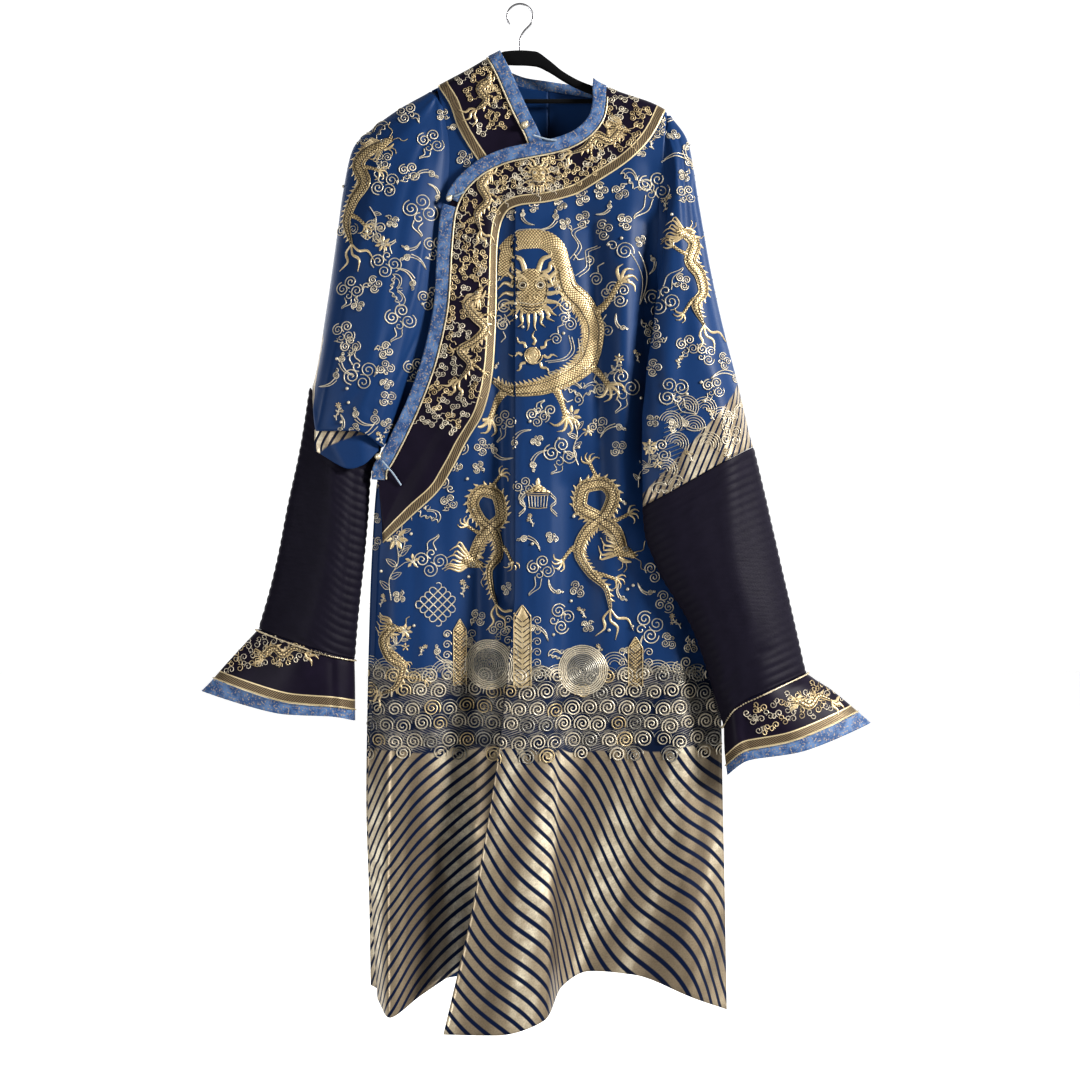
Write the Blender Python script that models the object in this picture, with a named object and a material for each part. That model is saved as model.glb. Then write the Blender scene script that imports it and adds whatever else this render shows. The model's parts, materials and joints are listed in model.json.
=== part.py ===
"""A Chinese dragon robe on a slim velvet hanger, as closed solids of cloth.

X runs to the viewer's right, the front faces -Y and Z is up. The origin is the inside top of the
hanger's hook. Tables are in millimetres, and "drop" is the distance straight down from the origin.
"""
import math

import bmesh
import bpy
import numpy as np

MM = 0.001
CLOTH = 1.2             # wall of the silk with its backing
HALF_SEAM = 0.15        # front and back pieces stop this far from the middle plane
SEAM = 0.3              # between two pieces sewn edge to edge
YOKE_GAP = 1.2          # air under a yoke that lies on a panel
EDGING_GAP = 0.9        # air under an edging that lies on a yoke
RIDGE_RADIUS = 14.0     # roundness of the cloth over the hanger's arms
EDGING_WIDTH = 19.0     # brocade edging of the neck and the overlap
CUFF_EDGING = 20.0      # brocade edging of the cuffs
PIPING_RADIUS = 1.5
RIB_PITCH = 12.2        # crosswise ribs of the lower sleeves
RIB_HEIGHT = 0.9
HOOK_INSIDE_RADIUS = 17.0
HOOK_WIRE_RADIUS = 1.8
HANGER_THICKNESS = 8.0
CUFF_PIPING_ROW = 1     # grid row of the cuff that carries its gold cord

# The shoulder ridge, from the left sleeve's fold over both hanger arms: (x, drop)
RIDGE = ((-244, 207), (-210, 175), (-174, 149), (-128, 124), (-77, 97), (-38, 75), (0, 60),
         (50, 70), (86, 95), (113, 116), (161, 134), (188, 143), (215, 158), (236, 187))
# Top edge of the outer front under the yoke, from the centre to the ridge: (x, drop)
FRONT_TOP = ((-7, 256), (29, 253), (69, 244), (104, 225), (135, 199), (160, 172), (184, 153),
             (200, 150), (215, 158))
# Neck edge of the under front: (drop, x)
UNDER_NECK = ((75, -34), (99, -20), (129, -7), (160, 7), (192, 23), (208, 29), (300, 30), (1425, 20))
# Lower edge of the back's neck edging: (x, drop)
BACK_NECK = ((-38, 94), (-13, 108), (10, 116), (36, 120), (73, 126), (113, 132))
# Underarm points: down to them a sleeve's edges follow the body panels' side edges
UNDERARM_RIGHT_DROP = 645
UNDERARM_LEFT_DROP = 470
BACK_SEAM_X = 41.0
SLEEVE_GAP = {1: 0.9, -1: 1.5}  # from a body panel's edge to the left and the right sleeve's
BACK_EDGING_LAP = 4.0   # the neck band laps this far over the back panels' top edge
CHEST_CROWDING = 1.3    # rows stand closer at the chest than in the skirt

# Each panel's fold lines down the cloth: name, x at every drop, depth (y) at every drop
FRONT_DROPS = (130, 230, 330, 480, 640, 760, 850, 1005, 1150, 1290, 1460)
FRONT_FOLDS = (
    ("slit edge", (-7, -7, -7, -7, -7, -7, -8, -21, -41, -66, -105),
     (-24, -27, -30, -32, -36, -41, -46, -60, -80, -100, -130)),
    ("edge ridge", (10, 9, 8, 8, 8, 8, 9, 4, -4, -14, -30),
     (-24, -28, -31, -34, -38, -43, -48, -61, -78, -98, -131)),
    ("turn", (38, 39, 40, 40, 41, 43, 45, 45, 44, 41, 36),
     (-22, -26, -29, -31, -35, -39, -43, -54, -68, -86, -115)),
    ("turn back", (60, 61, 62, 62, 62, 62, 62, 61, 60, 60, 60),
     (-20, -25, -26, -27, -29, -32, -35, -40, -47, -54, -62)),
    ("valley", (88, 89, 90, 91, 91, 91, 91, 94, 97, 100, 102),
     (-18, -25, -25, -25, -26, -27, -28, -29, -30, -31, -31)),
    ("side ridge", (130, 136, 140, 142, 142, 143, 146, 152, 157, 160, 165),
     (-14, -24, -31, -34, -35, -36, -36, -34, -33, -34, -38)),
    ("side swell", (175, 178, 180, 184, 186, 190, 198, 215, 228, 233, 238),
     (-11, -21, -27, -27, -24, -26, -29, -36, -40, -43, -45)),
    ("side seam", (215, 207, 203, 213, 250, 272, 281, 291, 294, 297, 300),
     (-9, -18, -22, -0.15, -0.15, -0.15, -0.15, -0.15, -0.15, -0.15, -0.15)),
)
FRONT_HEM = (1457, 1458, 1441, 1408, 1393, 1397, 1424, 1456)

OVERLAP_DROPS = (270, 330, 480, 560, 640, 718, 783, 850, 1005, 1150, 1290, 1430)
OVERLAP_FOLDS = (
    ("side edge", (-50, -60, -78, -92, -132, -178, -203, -206, -212, -219, -213, -202),
     (-26, -27, -27, -26, -25, -24, -23, -20, -18, -20, -26, -52)),
    ("side ridge", (-44, -52, -68, -80, -112, -152, -172, -176, -180, -183, -183, -181),
     (-26, -28, -28, -28, -28, -29, -30, -32, -37, -50, -64, -95)),
    ("slope", (-38, -44, -56, -64, -84, -110, -126, -132, -137, -141, -141, -138),
     (-26, -28, -28, -28, -28, -28, -29, -31, -35, -46, -55, -74)),
    ("valley", (-30, -32, -38, -42, -50, -60, -65, -67, -68, -68, -68, -70),
     (-26, -27, -26, -24, -20, -15, -12, -11, -11, -13, -17, -34)),
    ("inner swell", (-12, -12, -13, -14, -16, -19, -24, -28, -36, -42, -44, -44),
     (-26, -26, -27, -27, -25, -22, -20, -18, -16, -17, -20, -27)),
    ("hidden edge", (12, 12, 12, 12, 12, 12, 12, 12, 8, 2, -4, -12),
     (-25, -26, -27, -27, -25, -22, -20, -18, -16, -16, -18, -22)),
)
OVERLAP_HEM = (1428, 1443, 1417, 1384, 1378, 1375)

UNDER_DROPS = (75, 160, 208, 330, 480, 580, 688, 783, 850, 1005, 1150, 1290, 1425)
UNDER_FOLDS = (
    ("side", (-130, -112, -104, -114, -138, -168, -207, -214, -217, -221, -223, -219, -216),
     (-8, -15, -19, -20, -18, -12, -0.15, -0.15, -0.15, -0.15, -0.15, -0.15, -0.15)),
    ("side ridge", (-95, -80, -74, -84, -104, -132, -176, -184, -187, -190, -192, -190, -188),
     (-10, -17, -20, -21, -19, -16, -11, -9, -9, -9, -11, -15, -30)),
    ("middle", (-62, -46, -38, -40, -46, -54, -80, -86, -88, -90, -92, -92, -92),
     (-10, -17, -19, -20, -19, -17, -9, -5, -4, -4, -5, -8, -16)),
    ("inner edge", (-34, 7, 29, 30, 30, 29, 28, 28, 27, 26, 25, 22, 20),
     (-10, -17, -18, -19, -19, -18, -13, -10, -8, -6, -6, -8, -11)),
)
UNDER_HEM = (1421, 1424, 1396, 1372)

BACK_DROPS = (75, 130, 230, 330, 480, 640, 760, 850, 1005, 1150, 1290, 1460)
BACK_FOLDS = (
    ("left side", (-160, -126, -104, -113, -134, -180, -211, -217, -221, -223, -219, -216),
     (8, 10, 18, 21, 20, 0.15, 0.15, 0.15, 0.15, 0.15, 0.15, 0.15)),
    ("left ridge", (-110, -96, -82, -84, -96, -120, -146, -156, -162, -166, -166, -164),
     (9, 14, 24, 29, 33, 35, 40, 44, 50, 56, 62, 70)),
    ("left valley", (-60, -52, -44, -42, -46, -56, -66, -72, -76, -78, -78, -78),
     (12, 16, 22, 25, 26, 27, 28, 30, 32, 34, 36, 40)),
    ("left of seam", (-4, -4, -4, -4, -4, -5, -8, -9, -10, -11, -12, -14),
     (14, 17, 24, 28, 33, 38, 43, 47, 53, 60, 68, 80)),
    ("centre seam", (41, 41, 41, 41, 41, 41, 41, 41, 41, 41, 41, 41),
     (15, 17, 22, 25, 28, 31, 33, 35, 38, 42, 46, 54)),
    ("right of seam", (86, 87, 88, 88, 88, 89, 90, 91, 93, 95, 97, 98),
     (12, 16, 24, 29, 35, 41, 47, 51, 57, 64, 72, 84)),
    ("right valley", (132, 133, 134, 136, 138, 144, 152, 157, 164, 168, 170, 172),
     (9, 13, 21, 25, 27, 28, 29, 30, 32, 34, 37, 42)),
    ("right ridge", (176, 177, 176, 178, 182, 206, 222, 230, 238, 242, 244, 246),
     (8, 11, 20, 26, 28, 31, 36, 40, 46, 52, 58, 66)),
    ("right side", (215, 213, 207, 204, 213, 250, 272, 281, 291, 294, 297, 300),
     (8, 9, 18, 22, 0.15, 0.15, 0.15, 0.15, 0.15, 0.15, 0.15, 0.15)),
)
BACK_HEM = (1421, 1436, 1416, 1444, 1424, 1403, 1400, 1432, 1456)

# The overlap yoke, a row for each station from the right ridge round to the underarm:
# (inner x, inner drop, outer x, outer drop). The edging's centre line is the inner edge.
YOKE_OVERLAP = (
    (113, 116, 210, 155), (114, 138, 203, 172), (111, 161, 187, 199), (98, 183, 158, 230),
    (76, 199, 119, 257), (48, 209, 78, 280), (15, 216, 34, 292), (-18, 223, 2, 296),
    (-50, 236, -13, 301), (-76, 256, -24, 315), (-92, 276, -30, 335), (-104, 309, -33, 370),
    (-109, 359, -33, 410), (-113, 431, -34, 460), (-127, 503, -38, 524), (-147, 563, -51, 586),
    (-170, 615, -77, 636), (-192, 658, -114, 701), (-202, 675, -155, 742), (-203, 689, -196, 780),
)
EDGING_BREAK = 10.4     # station where the upper edging ends and the lower one starts
YOKE_UNDER = (
    (-36, 76, -118, 121), (-24, 99, -100, 151), (-11, 129, -90, 180), (3, 160, -76, 206),
    (19, 192, -57, 235), (25, 208, -46, 254),
)
YOKE_BACK = (
    (-44, 78, -118, 121), (-38, 100, -112, 150), (-13, 112, -60, 190), (36, 123, 38, 204),
    (73, 129, 140, 195), (106, 132, 188, 160), (113, 118, 200, 150),
)

# Sleeve sections from the shoulder to the elbow: eight stations round the cloth, each (x, y, drop):
# front tuck, front fold, front swell, front crease, top fold, back crease, back swell, back tuck
SLEEVE_LEFT_ROWS = (
    ((208.5, -18, 232), (211, -17, 214), (214, -14, 192), (217, -9, 171), (218.5, 0, 160),
     (217, 9, 171), (214, 15, 195), (209, 18, 232)),
    ((205.5, -23, 300), (212, -28, 284), (221, -30, 252), (235, -19, 213), (243, 0, 197),
     (235, 17, 213), (221, 23, 252), (206, 22, 300)),
    ((206.5, -22, 390), (202, -36, 380), (218, -43, 346), (246, -30, 303), (259, -2, 290),
     (247, 20, 305), (221, 26, 345), (207, 20, 390)),
    ((219, -4, 478), (189, -39, 474), (215, -53, 448), (258, -41, 414), (279, -6, 400),
     (263, 19, 412), (235, 16, 450), (219, 2.5, 480)),
    ((204, -34, 560), (179, -46, 556), (211, -64, 532), (268, -52, 498), (297, -11, 482),
     (276, 10, 492), (246, -8, 530), (208, -30, 561)),
    ((179, -43, 640), (174, -52, 639), (212, -68, 616), (281, -60, 578), (317, -14, 561),
     (289, 2, 574), (244, -20, 610), (182, -40, 641)),
    ((176, -45, 729), (175, -54, 728), (215, -68, 706), (290, -62, 664), (336, -16, 641),
     (300, -2, 660), (240, -28, 696), (179, -42, 729.5)),
)
SLEEVE_RIGHT_ROWS = (
    ((-114, -16, 162), (-117, -15.5, 152), (-120.5, -13, 141), (-126.5, -8, 131), (-131, 0, 125.5),
     (-128.5, 8, 131), (-124, 13, 142), (-119, 16, 162)),
    ((-105, -19, 215), (-118, -24, 203), (-135, -25, 185), (-158, -15, 154), (-172, 0, 148.5),
     (-160, 15, 154), (-140, 22, 185), (-106, 18, 215)),
    ((-107, -20, 265), (-126, -30, 255), (-154, -36, 232), (-193, -24, 192), (-212, 0, 178),
     (-196, 18, 192), (-160, 28, 232), (-107, 20, 265)),
    ((-112, -20, 312), (-134, -34, 304), (-170, -44, 285), (-218, -30, 245), (-242, 0, 208),
     (-224, 20, 245), (-178, 34, 285), (-111, 21, 312)),
    ((-119, -20, 362), (-140, -36, 356), (-180, -50, 342), (-228, -36, 304), (-256, -1, 266),
     (-236, 22, 304), (-188, 38, 342), (-117, 21, 362)),
    ((-127.5, -19, 431), (-148, -37, 426), (-190, -55, 414), (-240, -42, 382), (-266, -3, 340),
     (-246, 22, 382), (-198, 38, 414), (-129, 20, 431)),
    ((-146, -17, 510), (-163, -36, 506), (-202, -58, 496), (-256, -47, 470), (-279, -4, 436),
     (-258, 20, 470), (-210, 36, 496), (-142, 18, 510)),
    ((-169, -13, 580), (-178, -36, 577), (-216, -60, 568), (-272, -50, 546), (-292, -5, 520),
     (-268, 18, 546), (-218, 32, 568), (-160, 14, 580)),
    ((-193, -14, 634), (-196, -38, 643), (-232, -58, 621), (-290, -44, 620), (-299.5, -9, 552),
     (-276, 17, 590), (-226, 28, 616), (-182, 8, 634)),
)
SLEEVE_RETURN_ROWS = (
    ((-203, -37, 614), (-232, -46, 600), (-262, -44, 598), (-292, -33, 598)),
    ((-201, -37, 638), (-230, -47, 640), (-262, -46, 634), (-294, -34, 628)),
    ((-202, -36, 648), (-224, -44, 669), (-244, -45, 674), (-293, -33, 648)),
)

# Lower sleeves: rings of inner edge, front, front crease, outer edge, back crease, back, (x, y, drop).
# The left one also has the back tuck of the sleeve above it, which gives it its first ring.
LOWER_LEFT_ROWS = (
    ((178, -53, 764), (218, -68, 744), (291, -64, 716), (351, -16, 703), (308, -2, 714),
     (243, -29, 738), (181, -44, 764)),
    ((200, -52, 823), (236, -67, 811), (300, -65, 801), (374, -16, 800), (322, 0, 802),
     (258, -28, 812), (203, -43, 822)),
    ((246, -48, 902), (274, -63, 896), (326, -64, 893), (395, -16, 891), (347, 2, 893),
     (296, -24, 897), (250, -39, 901)),
    ((291, -44, 1040), (303, -60, 1014), (344, -62, 991), (412, -16, 966), (368, 4, 984),
     (318, -16, 1010), (293, -35, 1038)),
)
LOWER_RIGHT_ROWS = (
    ((-195, -14, 632), (-226, -29, 622), (-264, -30, 600), (-304.0, -5, 555), (-272.5, 14.2, 590),
     (-230, 17, 615)),
    ((-216, -10, 684), (-236, -27, 678), (-266, -34, 668), (-317, -8, 640), (-276, 13, 664),
     (-240, 11, 676)),
    ((-220, -8, 746), (-240, -27, 742), (-266, -36, 738), (-335, -8, 726), (-284, 15, 736),
     (-246, 13, 742)),
    ((-226, -8, 808), (-246, -28, 806), (-272, -38, 802), (-348, -8, 792), (-294, 16, 800),
     (-254, 14, 805)),
    ((-233, -8, 876), (-254, -29, 872), (-284, -40, 868), (-362, -8, 852), (-308, 17, 865),
     (-264, 15, 871)),
    ((-239, -8, 946), (-262, -30, 940), (-300, -42, 928), (-377, -8, 903), (-322, 18, 922),
     (-276, 16, 936)),
)
# Cuffs: the lower sleeve's last ring, the flaring middle and the brim, at the same stations
CUFF_LEFT_ROWS = (
    ((291, -44, 1041), (303, -61, 1015), (344, -63, 992), (412, -16, 967), (368, 5, 985),
     (318, -15, 1011), (293, -35, 1039)),
    ((292, -44, 1072), (310, -65, 1050), (366, -66, 1030), (452, -17, 994), (392, 8, 1018),
     (328, -14, 1046), (294, -35, 1070)),
    ((296, -44, 1110), (320, -68, 1088), (394, -66, 1076), (505, -18, 1038), (420, 12, 1064),
     (340, -14, 1084), (299, -35, 1108)),
)
CUFF_RIGHT_ROWS = (
    ((-239, -8, 947), (-262, -31, 941), (-300, -43, 929), (-378, -8, 904), (-322, 19, 923),
     (-276, 17, 937)),
    ((-238.5, -8, 990), (-264, -35, 986), (-316, -45, 975), (-412, -8, 940), (-342, 22, 962),
     (-284, 20, 978)),
    ((-238, -8, 1036), (-266, -38, 1028), (-336, -44, 1024), (-460, -9, 993), (-372, 24, 1012),
     (-294, 22, 1024)),
)

# Hanger: outline stations along the arms: (x, top drop, height of the wood there)
HANGER_ARMS = ((-206, 186.5, 9), (-174, 154, 13), (-128, 129.5, 13), (-77, 101, 14), (-46, 84, 16),
               (-22, 67, 20), (0, 65.5, 22), (22, 67, 22), (41, 79, 18), (62, 96, 14), (87, 110, 13),
               (116, 121, 13), (161, 138, 13), (188, 147, 12), (209, 161.5, 9))
BAR_LEFT, BAR_RIGHT, BAR_HEIGHT = -116.0, 121.0, 6.0
# Shank of the hook from the hanger's head to the ring: (x, drop)
HOOK_SHANK = ((0, 65.1), (0, 58), (0, 51), (2.5, 43.5), (7, 36.5))

# Ball buttons: name, x, drop, radius, distance of the centre from the front surface
BUTTONS = (("neck", 7, 180, 5.5, 10.4), ("chest", -101, 287, 4.5, 9.6),
           ("underarm", -203, 656, 4.8, 9.9))
# Cord loops: name, route of (x, drop, distance from the front surface)
LOOPS = (("neck", ((20, 196, 8.0), (30, 199, 6.9), (42, 202, 6.8), (53, 203, 6.8))),
         ("chest", ((-94, 284, 8.1), (-87, 281, 8.35), (-79, 277, 8.35))),
         ("underarm", ((-197, 662, 7.4), (-190, 670, 8.2), (-183, 678, 9.2), (-176, 688, 6.0),
                       (-170, 697, 4.8))))
LOOP_RADIUS = 1.6


def smooth(knots, values, at):
    """Read a table by a smooth curve that never overshoots its rows."""
    knots, values = np.asarray(knots, float), np.asarray(values, float)
    step = np.diff(knots)
    rise = np.diff(values) / step
    product = rise[:-1] * rise[1:]
    total = np.where(product > 0, rise[:-1] + rise[1:], 1.0)
    slope = np.concatenate(([rise[0]], np.where(product > 0, 2 * product / total, 0.0), [rise[-1]]))
    at = np.clip(at, knots[0], knots[-1])
    i = np.clip(np.searchsorted(knots, at, side="right") - 1, 0, len(step) - 1)
    t = (at - knots[i]) / step[i]
    return (values[i] * (1 + 2 * t) * (1 - t) ** 2 + slope[i] * step[i] * t * (1 - t) ** 2
            + values[i + 1] * t * t * (3 - 2 * t) + slope[i + 1] * step[i] * t * t * (t - 1))


def along(points, at):
    """Points at places 0 to 1 along a smooth path through the given points."""
    points = np.asarray(points, float)
    knots = np.concatenate(([0], np.cumsum(np.linalg.norm(np.diff(points, axis=0), axis=1))))
    at = np.asarray(at) * knots[-1]
    return np.stack([smooth(knots, column, at) for column in points.T], axis=-1)


def cap(x, drop):
    """0 on the shoulder ridge, 1 where the cloth hangs straight below it."""
    below = np.clip((drop - smooth(*zip(*RIDGE), x)) / RIDGE_RADIUS, 0, 1)
    return np.sqrt(1 - (1 - below) ** 2)


def fold_depth(drops, folds, x, drop):
    """Depth of a panel at any x and drop, read across its fold lines."""
    x, drop = np.broadcast_arrays(np.asarray(x, float), np.asarray(drop, float))
    lines = np.stack([smooth(drops, fold[1], drop) for fold in folds])
    depths = np.stack([smooth(drops, fold[2], drop) for fold in folds])
    step = np.diff(lines, axis=0)
    rise = np.diff(depths, axis=0) / step
    product = rise[:-1] * rise[1:]
    total = np.where(product > 0, rise[:-1] + rise[1:], 1.0)
    slope = np.concatenate((rise[:1], np.where(product > 0, 2 * product / total, 0.0), rise[-1:]))
    at = np.clip(x, lines[0], lines[-1])
    i = np.clip((at >= lines).sum(axis=0) - 1, 0, len(folds) - 2)[None]
    low, high = np.take_along_axis(lines, i, 0)[0], np.take_along_axis(lines, i + 1, 0)[0]
    y0, y1 = np.take_along_axis(depths, i, 0)[0], np.take_along_axis(depths, i + 1, 0)[0]
    m0, m1 = np.take_along_axis(slope, i, 0)[0], np.take_along_axis(slope, i + 1, 0)[0]
    width = high - low
    t = (at - low) / width
    return (y0 * (1 + 2 * t) * (1 - t) ** 2 + m0 * width * t * (1 - t) ** 2
            + y1 * t * t * (3 - 2 * t) + m1 * width * t * t * (t - 1))


def left_surface(x, drop):
    return fold_depth(FRONT_DROPS, FRONT_FOLDS, x, drop) * cap(x, drop)


def overlap_surface(x, drop):
    return fold_depth(OVERLAP_DROPS, OVERLAP_FOLDS, x, drop)


def front_surface(x, drop):
    """Depth of the outer front: the left half, and the overlap half left of its edge."""
    left_half = fold_depth(FRONT_DROPS, FRONT_FOLDS, np.maximum(x, FRONT_FOLDS[0][1][0]), drop)
    overlap = overlap_surface(x, drop)
    share = np.clip((np.asarray(x, float) + 32) / 22, 0, 1)
    share = share * share * (3 - 2 * share)
    return (overlap * (1 - share) + left_half * share) * cap(x, drop)


def under_surface(x, drop):
    return fold_depth(UNDER_DROPS, UNDER_FOLDS, x, drop) * cap(x, drop)


def back_surface(x, drop):
    return fold_depth(BACK_DROPS, BACK_FOLDS, x, drop) * cap(x, drop)


def lay_on(surface, side, x, drop, out):
    """Points on a surface, moved out along its normal. side is -1 for a front and 1 for a back."""
    reach = 0.5
    slope_x = (surface(x + reach, drop) - surface(x - reach, drop)) / (2 * reach)
    slope_drop = (surface(x, drop + reach) - surface(x, drop - reach)) / (2 * reach)
    normal = np.stack((-slope_x, np.ones_like(slope_x), -slope_drop), axis=-1) * side
    normal /= np.linalg.norm(normal, axis=-1, keepdims=True)
    points = np.stack((x, surface(x, drop), drop), axis=-1) + normal * out
    limit = HALF_SEAM * side
    points[..., 1] = np.minimum(points[..., 1], limit) if side < 0 else np.maximum(points[..., 1], limit)
    return points


def grid_normals(grid, closed, outward):
    """Unit normals of a grid of points, turned to the outward side."""
    down = np.gradient(grid, axis=0)
    if closed:
        across = (np.roll(grid, -1, axis=1) - np.roll(grid, 1, axis=1)) / 2
    else:
        across = np.gradient(grid, axis=1)
    normal = np.cross(across, down)
    normal /= np.maximum(np.linalg.norm(normal, axis=-1, keepdims=True), 1e-9)
    return normal * outward


def material(name, colour, roughness, metallic=0.0):
    made = bpy.data.materials.new(name)
    made.use_nodes = True
    shader = made.node_tree.nodes["Principled BSDF"]
    shader.inputs["Base Color"].default_value = (*colour, 1.0)
    shader.inputs["Roughness"].default_value = roughness
    shader.inputs["Metallic"].default_value = metallic
    return made


def new_object(name, mesh, finish):
    mesh.materials.append(material(name, *finish))
    made = bpy.data.objects.new(name, mesh)
    bpy.context.scene.collection.objects.link(made)
    return made


def cloth_solid(name, outer, inner, finish, closed=False):
    """A closed wall between two grids of points; closed joins the last column to the first."""
    rows, columns = outer.shape[:2]
    work = bmesh.new()
    place = lambda point: work.verts.new((point[0] * MM, point[1] * MM, -point[2] * MM))
    front = [[place(point) for point in row] for row in outer]
    back_rows = inner.shape[0]
    back = [[place(point) for point in row] for row in inner]
    spans = range(columns if closed else columns - 1)

    def skin(grid, count, flip):
        for row in range(count - 1):
            for column in spans:
                after = (column + 1) % columns
                face = [grid[row][column], grid[row + 1][column], grid[row + 1][after], grid[row][after]]
                work.faces.new(face[::-1] if flip else face)

    skin(front, rows, False)
    skin(back, back_rows, True)
    for column in spans:
        after = (column + 1) % columns
        work.faces.new((front[0][after], back[0][after], back[0][column], front[0][column]))
        work.faces.new((front[-1][column], back[-1][column], back[-1][after], front[-1][after]))
    if not closed:
        for row in range(rows - 1):
            work.faces.new((front[row][0], back[row][0], back[row + 1][0], front[row + 1][0]))
            work.faces.new((front[row + 1][-1], back[row + 1][-1], back[row][-1], front[row][-1]))
    if work.calc_volume(signed=True) < 0:
        bmesh.ops.reverse_faces(work, faces=work.faces)
    mesh = bpy.data.meshes.new(name)
    work.to_mesh(mesh)
    work.free()
    mesh.shade_smooth()
    return new_object(name, mesh, finish)


def tube(name, route, radius, sides, finish, ring=False):
    """A cord along a smooth route of (x, y, drop), with closed ends or as a closed ring."""
    curve = bpy.data.curves.new(name, "CURVE")
    curve.dimensions = "3D"
    curve.bevel_depth = radius * MM
    curve.bevel_resolution = (sides - 4) // 2
    curve.use_fill_caps = True
    curve.render_resolution_u = 0
    line = curve.splines.new("POLY")
    line.points.add(len(route) - 1)
    line.use_cyclic_u = ring
    for knot, (x, y, drop) in zip(line.points, route):
        knot.co = (x * MM, y * MM, -drop * MM, 1)
    curve.materials.append(material(name, *finish))
    made = bpy.data.objects.new(name, curve)
    bpy.context.scene.collection.objects.link(made)
    return made


def panel_points(drops, folds, surface, side, top, hem, first, last, columns, rows):
    """Grid of a panel between two of its fold lines, from its top edge to its hem."""
    index = np.linspace(first, last, columns)
    order = np.arange(len(folds))

    def line_x(drop):
        lines = np.stack([smooth(drops, fold[1], drop) for fold in folds])
        return np.array([smooth(order, lines[:, column], index[column]) for column in range(columns)])

    start = np.full(columns, float(drops[0]))
    for _ in range(12):
        start = top(line_x(start))
    end = smooth(order, hem, index)
    near_top = np.array([0.0, 2.5, 7.0, 15.0, 30.0])
    fall = np.linspace(0, 1, rows - len(near_top) + 1)[1:] ** CHEST_CROWDING
    grid = np.empty((rows, columns, 3))
    for row in range(rows):
        if row < len(near_top):
            drop = start + near_top[row]
        else:
            drop = start + near_top[-1] + (end - start - near_top[-1]) * fall[row - len(near_top)]
        x = line_x(drop)
        grid[row] = np.stack((x, surface(x, drop), drop), axis=-1)
    return grid


def panel(name, grid, side, finish, x_limits=(-1000.0, 1000.0)):
    """Wall of a panel. It stays on its side of the middle plane and between the seams at x_limits."""
    inner = grid - grid_normals(grid, False, -side) * CLOTH
    limit = HALF_SEAM * side
    for layer in (grid, inner):
        layer[..., 1] = np.minimum(layer[..., 1], limit) if side < 0 else np.maximum(layer[..., 1], limit)
        layer[..., 0] = np.clip(layer[..., 0], *x_limits)
    return cloth_solid(name, grid, inner, finish)


def strip(name, surface, side, rows, columns, out, thickness, finish):
    """A trim between paired edge points (x, drop, x, drop), laid on a surface."""
    rows = np.asarray(rows, float)
    share = np.linspace(0, 1, columns)[None, :]
    x = rows[:, 0:1] * (1 - share) + rows[:, 2:3] * share
    drop = rows[:, 1:2] * (1 - share) + rows[:, 3:4] * share
    return cloth_solid(name, lay_on(surface, side, x, drop, out + thickness),
                       lay_on(surface, side, x, drop, out), finish)


def stations(table, start, end, count, crowd_start=False, crowd_end=False):
    """Rows read from a table of stations, closer together where a trim turns over the ridge."""
    share = np.linspace(0, 1, count)
    if crowd_start and crowd_end:
        share = (1 - np.cos(np.pi * share)) / 2
    elif crowd_start:
        share = share ** 1.5
    at = start + (end - start) * share
    order = np.arange(len(table))
    return np.stack([smooth(order, column, at) for column in np.asarray(table, float).T], axis=-1)


def edge_rows(centre, width):
    """Paired edge points either side of a centre line of (x, drop)."""
    direction = np.gradient(centre, axis=0)
    direction /= np.linalg.norm(direction, axis=1, keepdims=True)
    across = np.stack((-direction[:, 1], direction[:, 0]), axis=-1) * width / 2
    return np.hstack((centre - across, centre + across))


def section_grid(table, steps, rows, closed):
    """Smooth grid through sleeve sections: so many steps from each station to the next."""
    table = np.asarray(table, float)
    count, around = table.shape[:2]
    if closed:
        wrapped = np.concatenate((table[:, -2:], table, table[:, :3]), axis=1)
        place, knots = np.arange(around * steps) / steps + 2, np.arange(around + 5)
    else:
        wrapped, knots = table, np.arange(around)
        place = np.arange((around - 1) * steps + 1) / steps
    ring = np.empty((count, len(place), 3))
    for row in range(count):
        for axis in range(3):
            ring[row, :, axis] = smooth(knots, wrapped[row, :, axis], place)
    at = np.linspace(0, count - 1, rows)
    grid = np.empty((rows, len(place), 3))
    for column in range(len(place)):
        for axis in range(3):
            grid[:, column, axis] = smooth(np.arange(count), ring[:, column, axis], at)
    return grid


SILK = ((0.018, 0.07, 0.26), 0.42)
NAVY = ((0.02, 0.016, 0.04), 0.5)
RIBBED = ((0.01, 0.009, 0.02), 0.5)
BROCADE = ((0.16, 0.26, 0.5), 0.5)
GOLD_CORD = ((0.72, 0.6, 0.36), 0.4, 0.6)
BUTTON_METAL = ((0.75, 0.66, 0.45), 0.35, 0.7)
LOOP_CORD = ((0.35, 0.42, 0.5), 0.7)
VELVET = ((0.006, 0.006, 0.007), 0.9)
WIRE = ((0.6, 0.6, 0.62), 0.25, 1.0)


def front_top(x):
    return smooth(*zip(*FRONT_TOP), x)


def ridge(x):
    return smooth(*zip(*RIDGE), x)


def under_top(x):
    """Top edge of the under front: the ridge, then its neck edge."""
    return np.where(np.asarray(x) < UNDER_NECK[0][1], ridge(x),
                    smooth([row[1] for row in UNDER_NECK[:6]], [row[0] for row in UNDER_NECK[:6]], x))


def overlap_top(x):
    return np.full_like(x, OVERLAP_DROPS[0])


def back_top(x):
    middle = smooth(*zip(*BACK_NECK), x) + SEAM
    return np.where((np.asarray(x) > BACK_NECK[0][0]) & (np.asarray(x) < BACK_NECK[-1][0]), middle, ridge(x))


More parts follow.
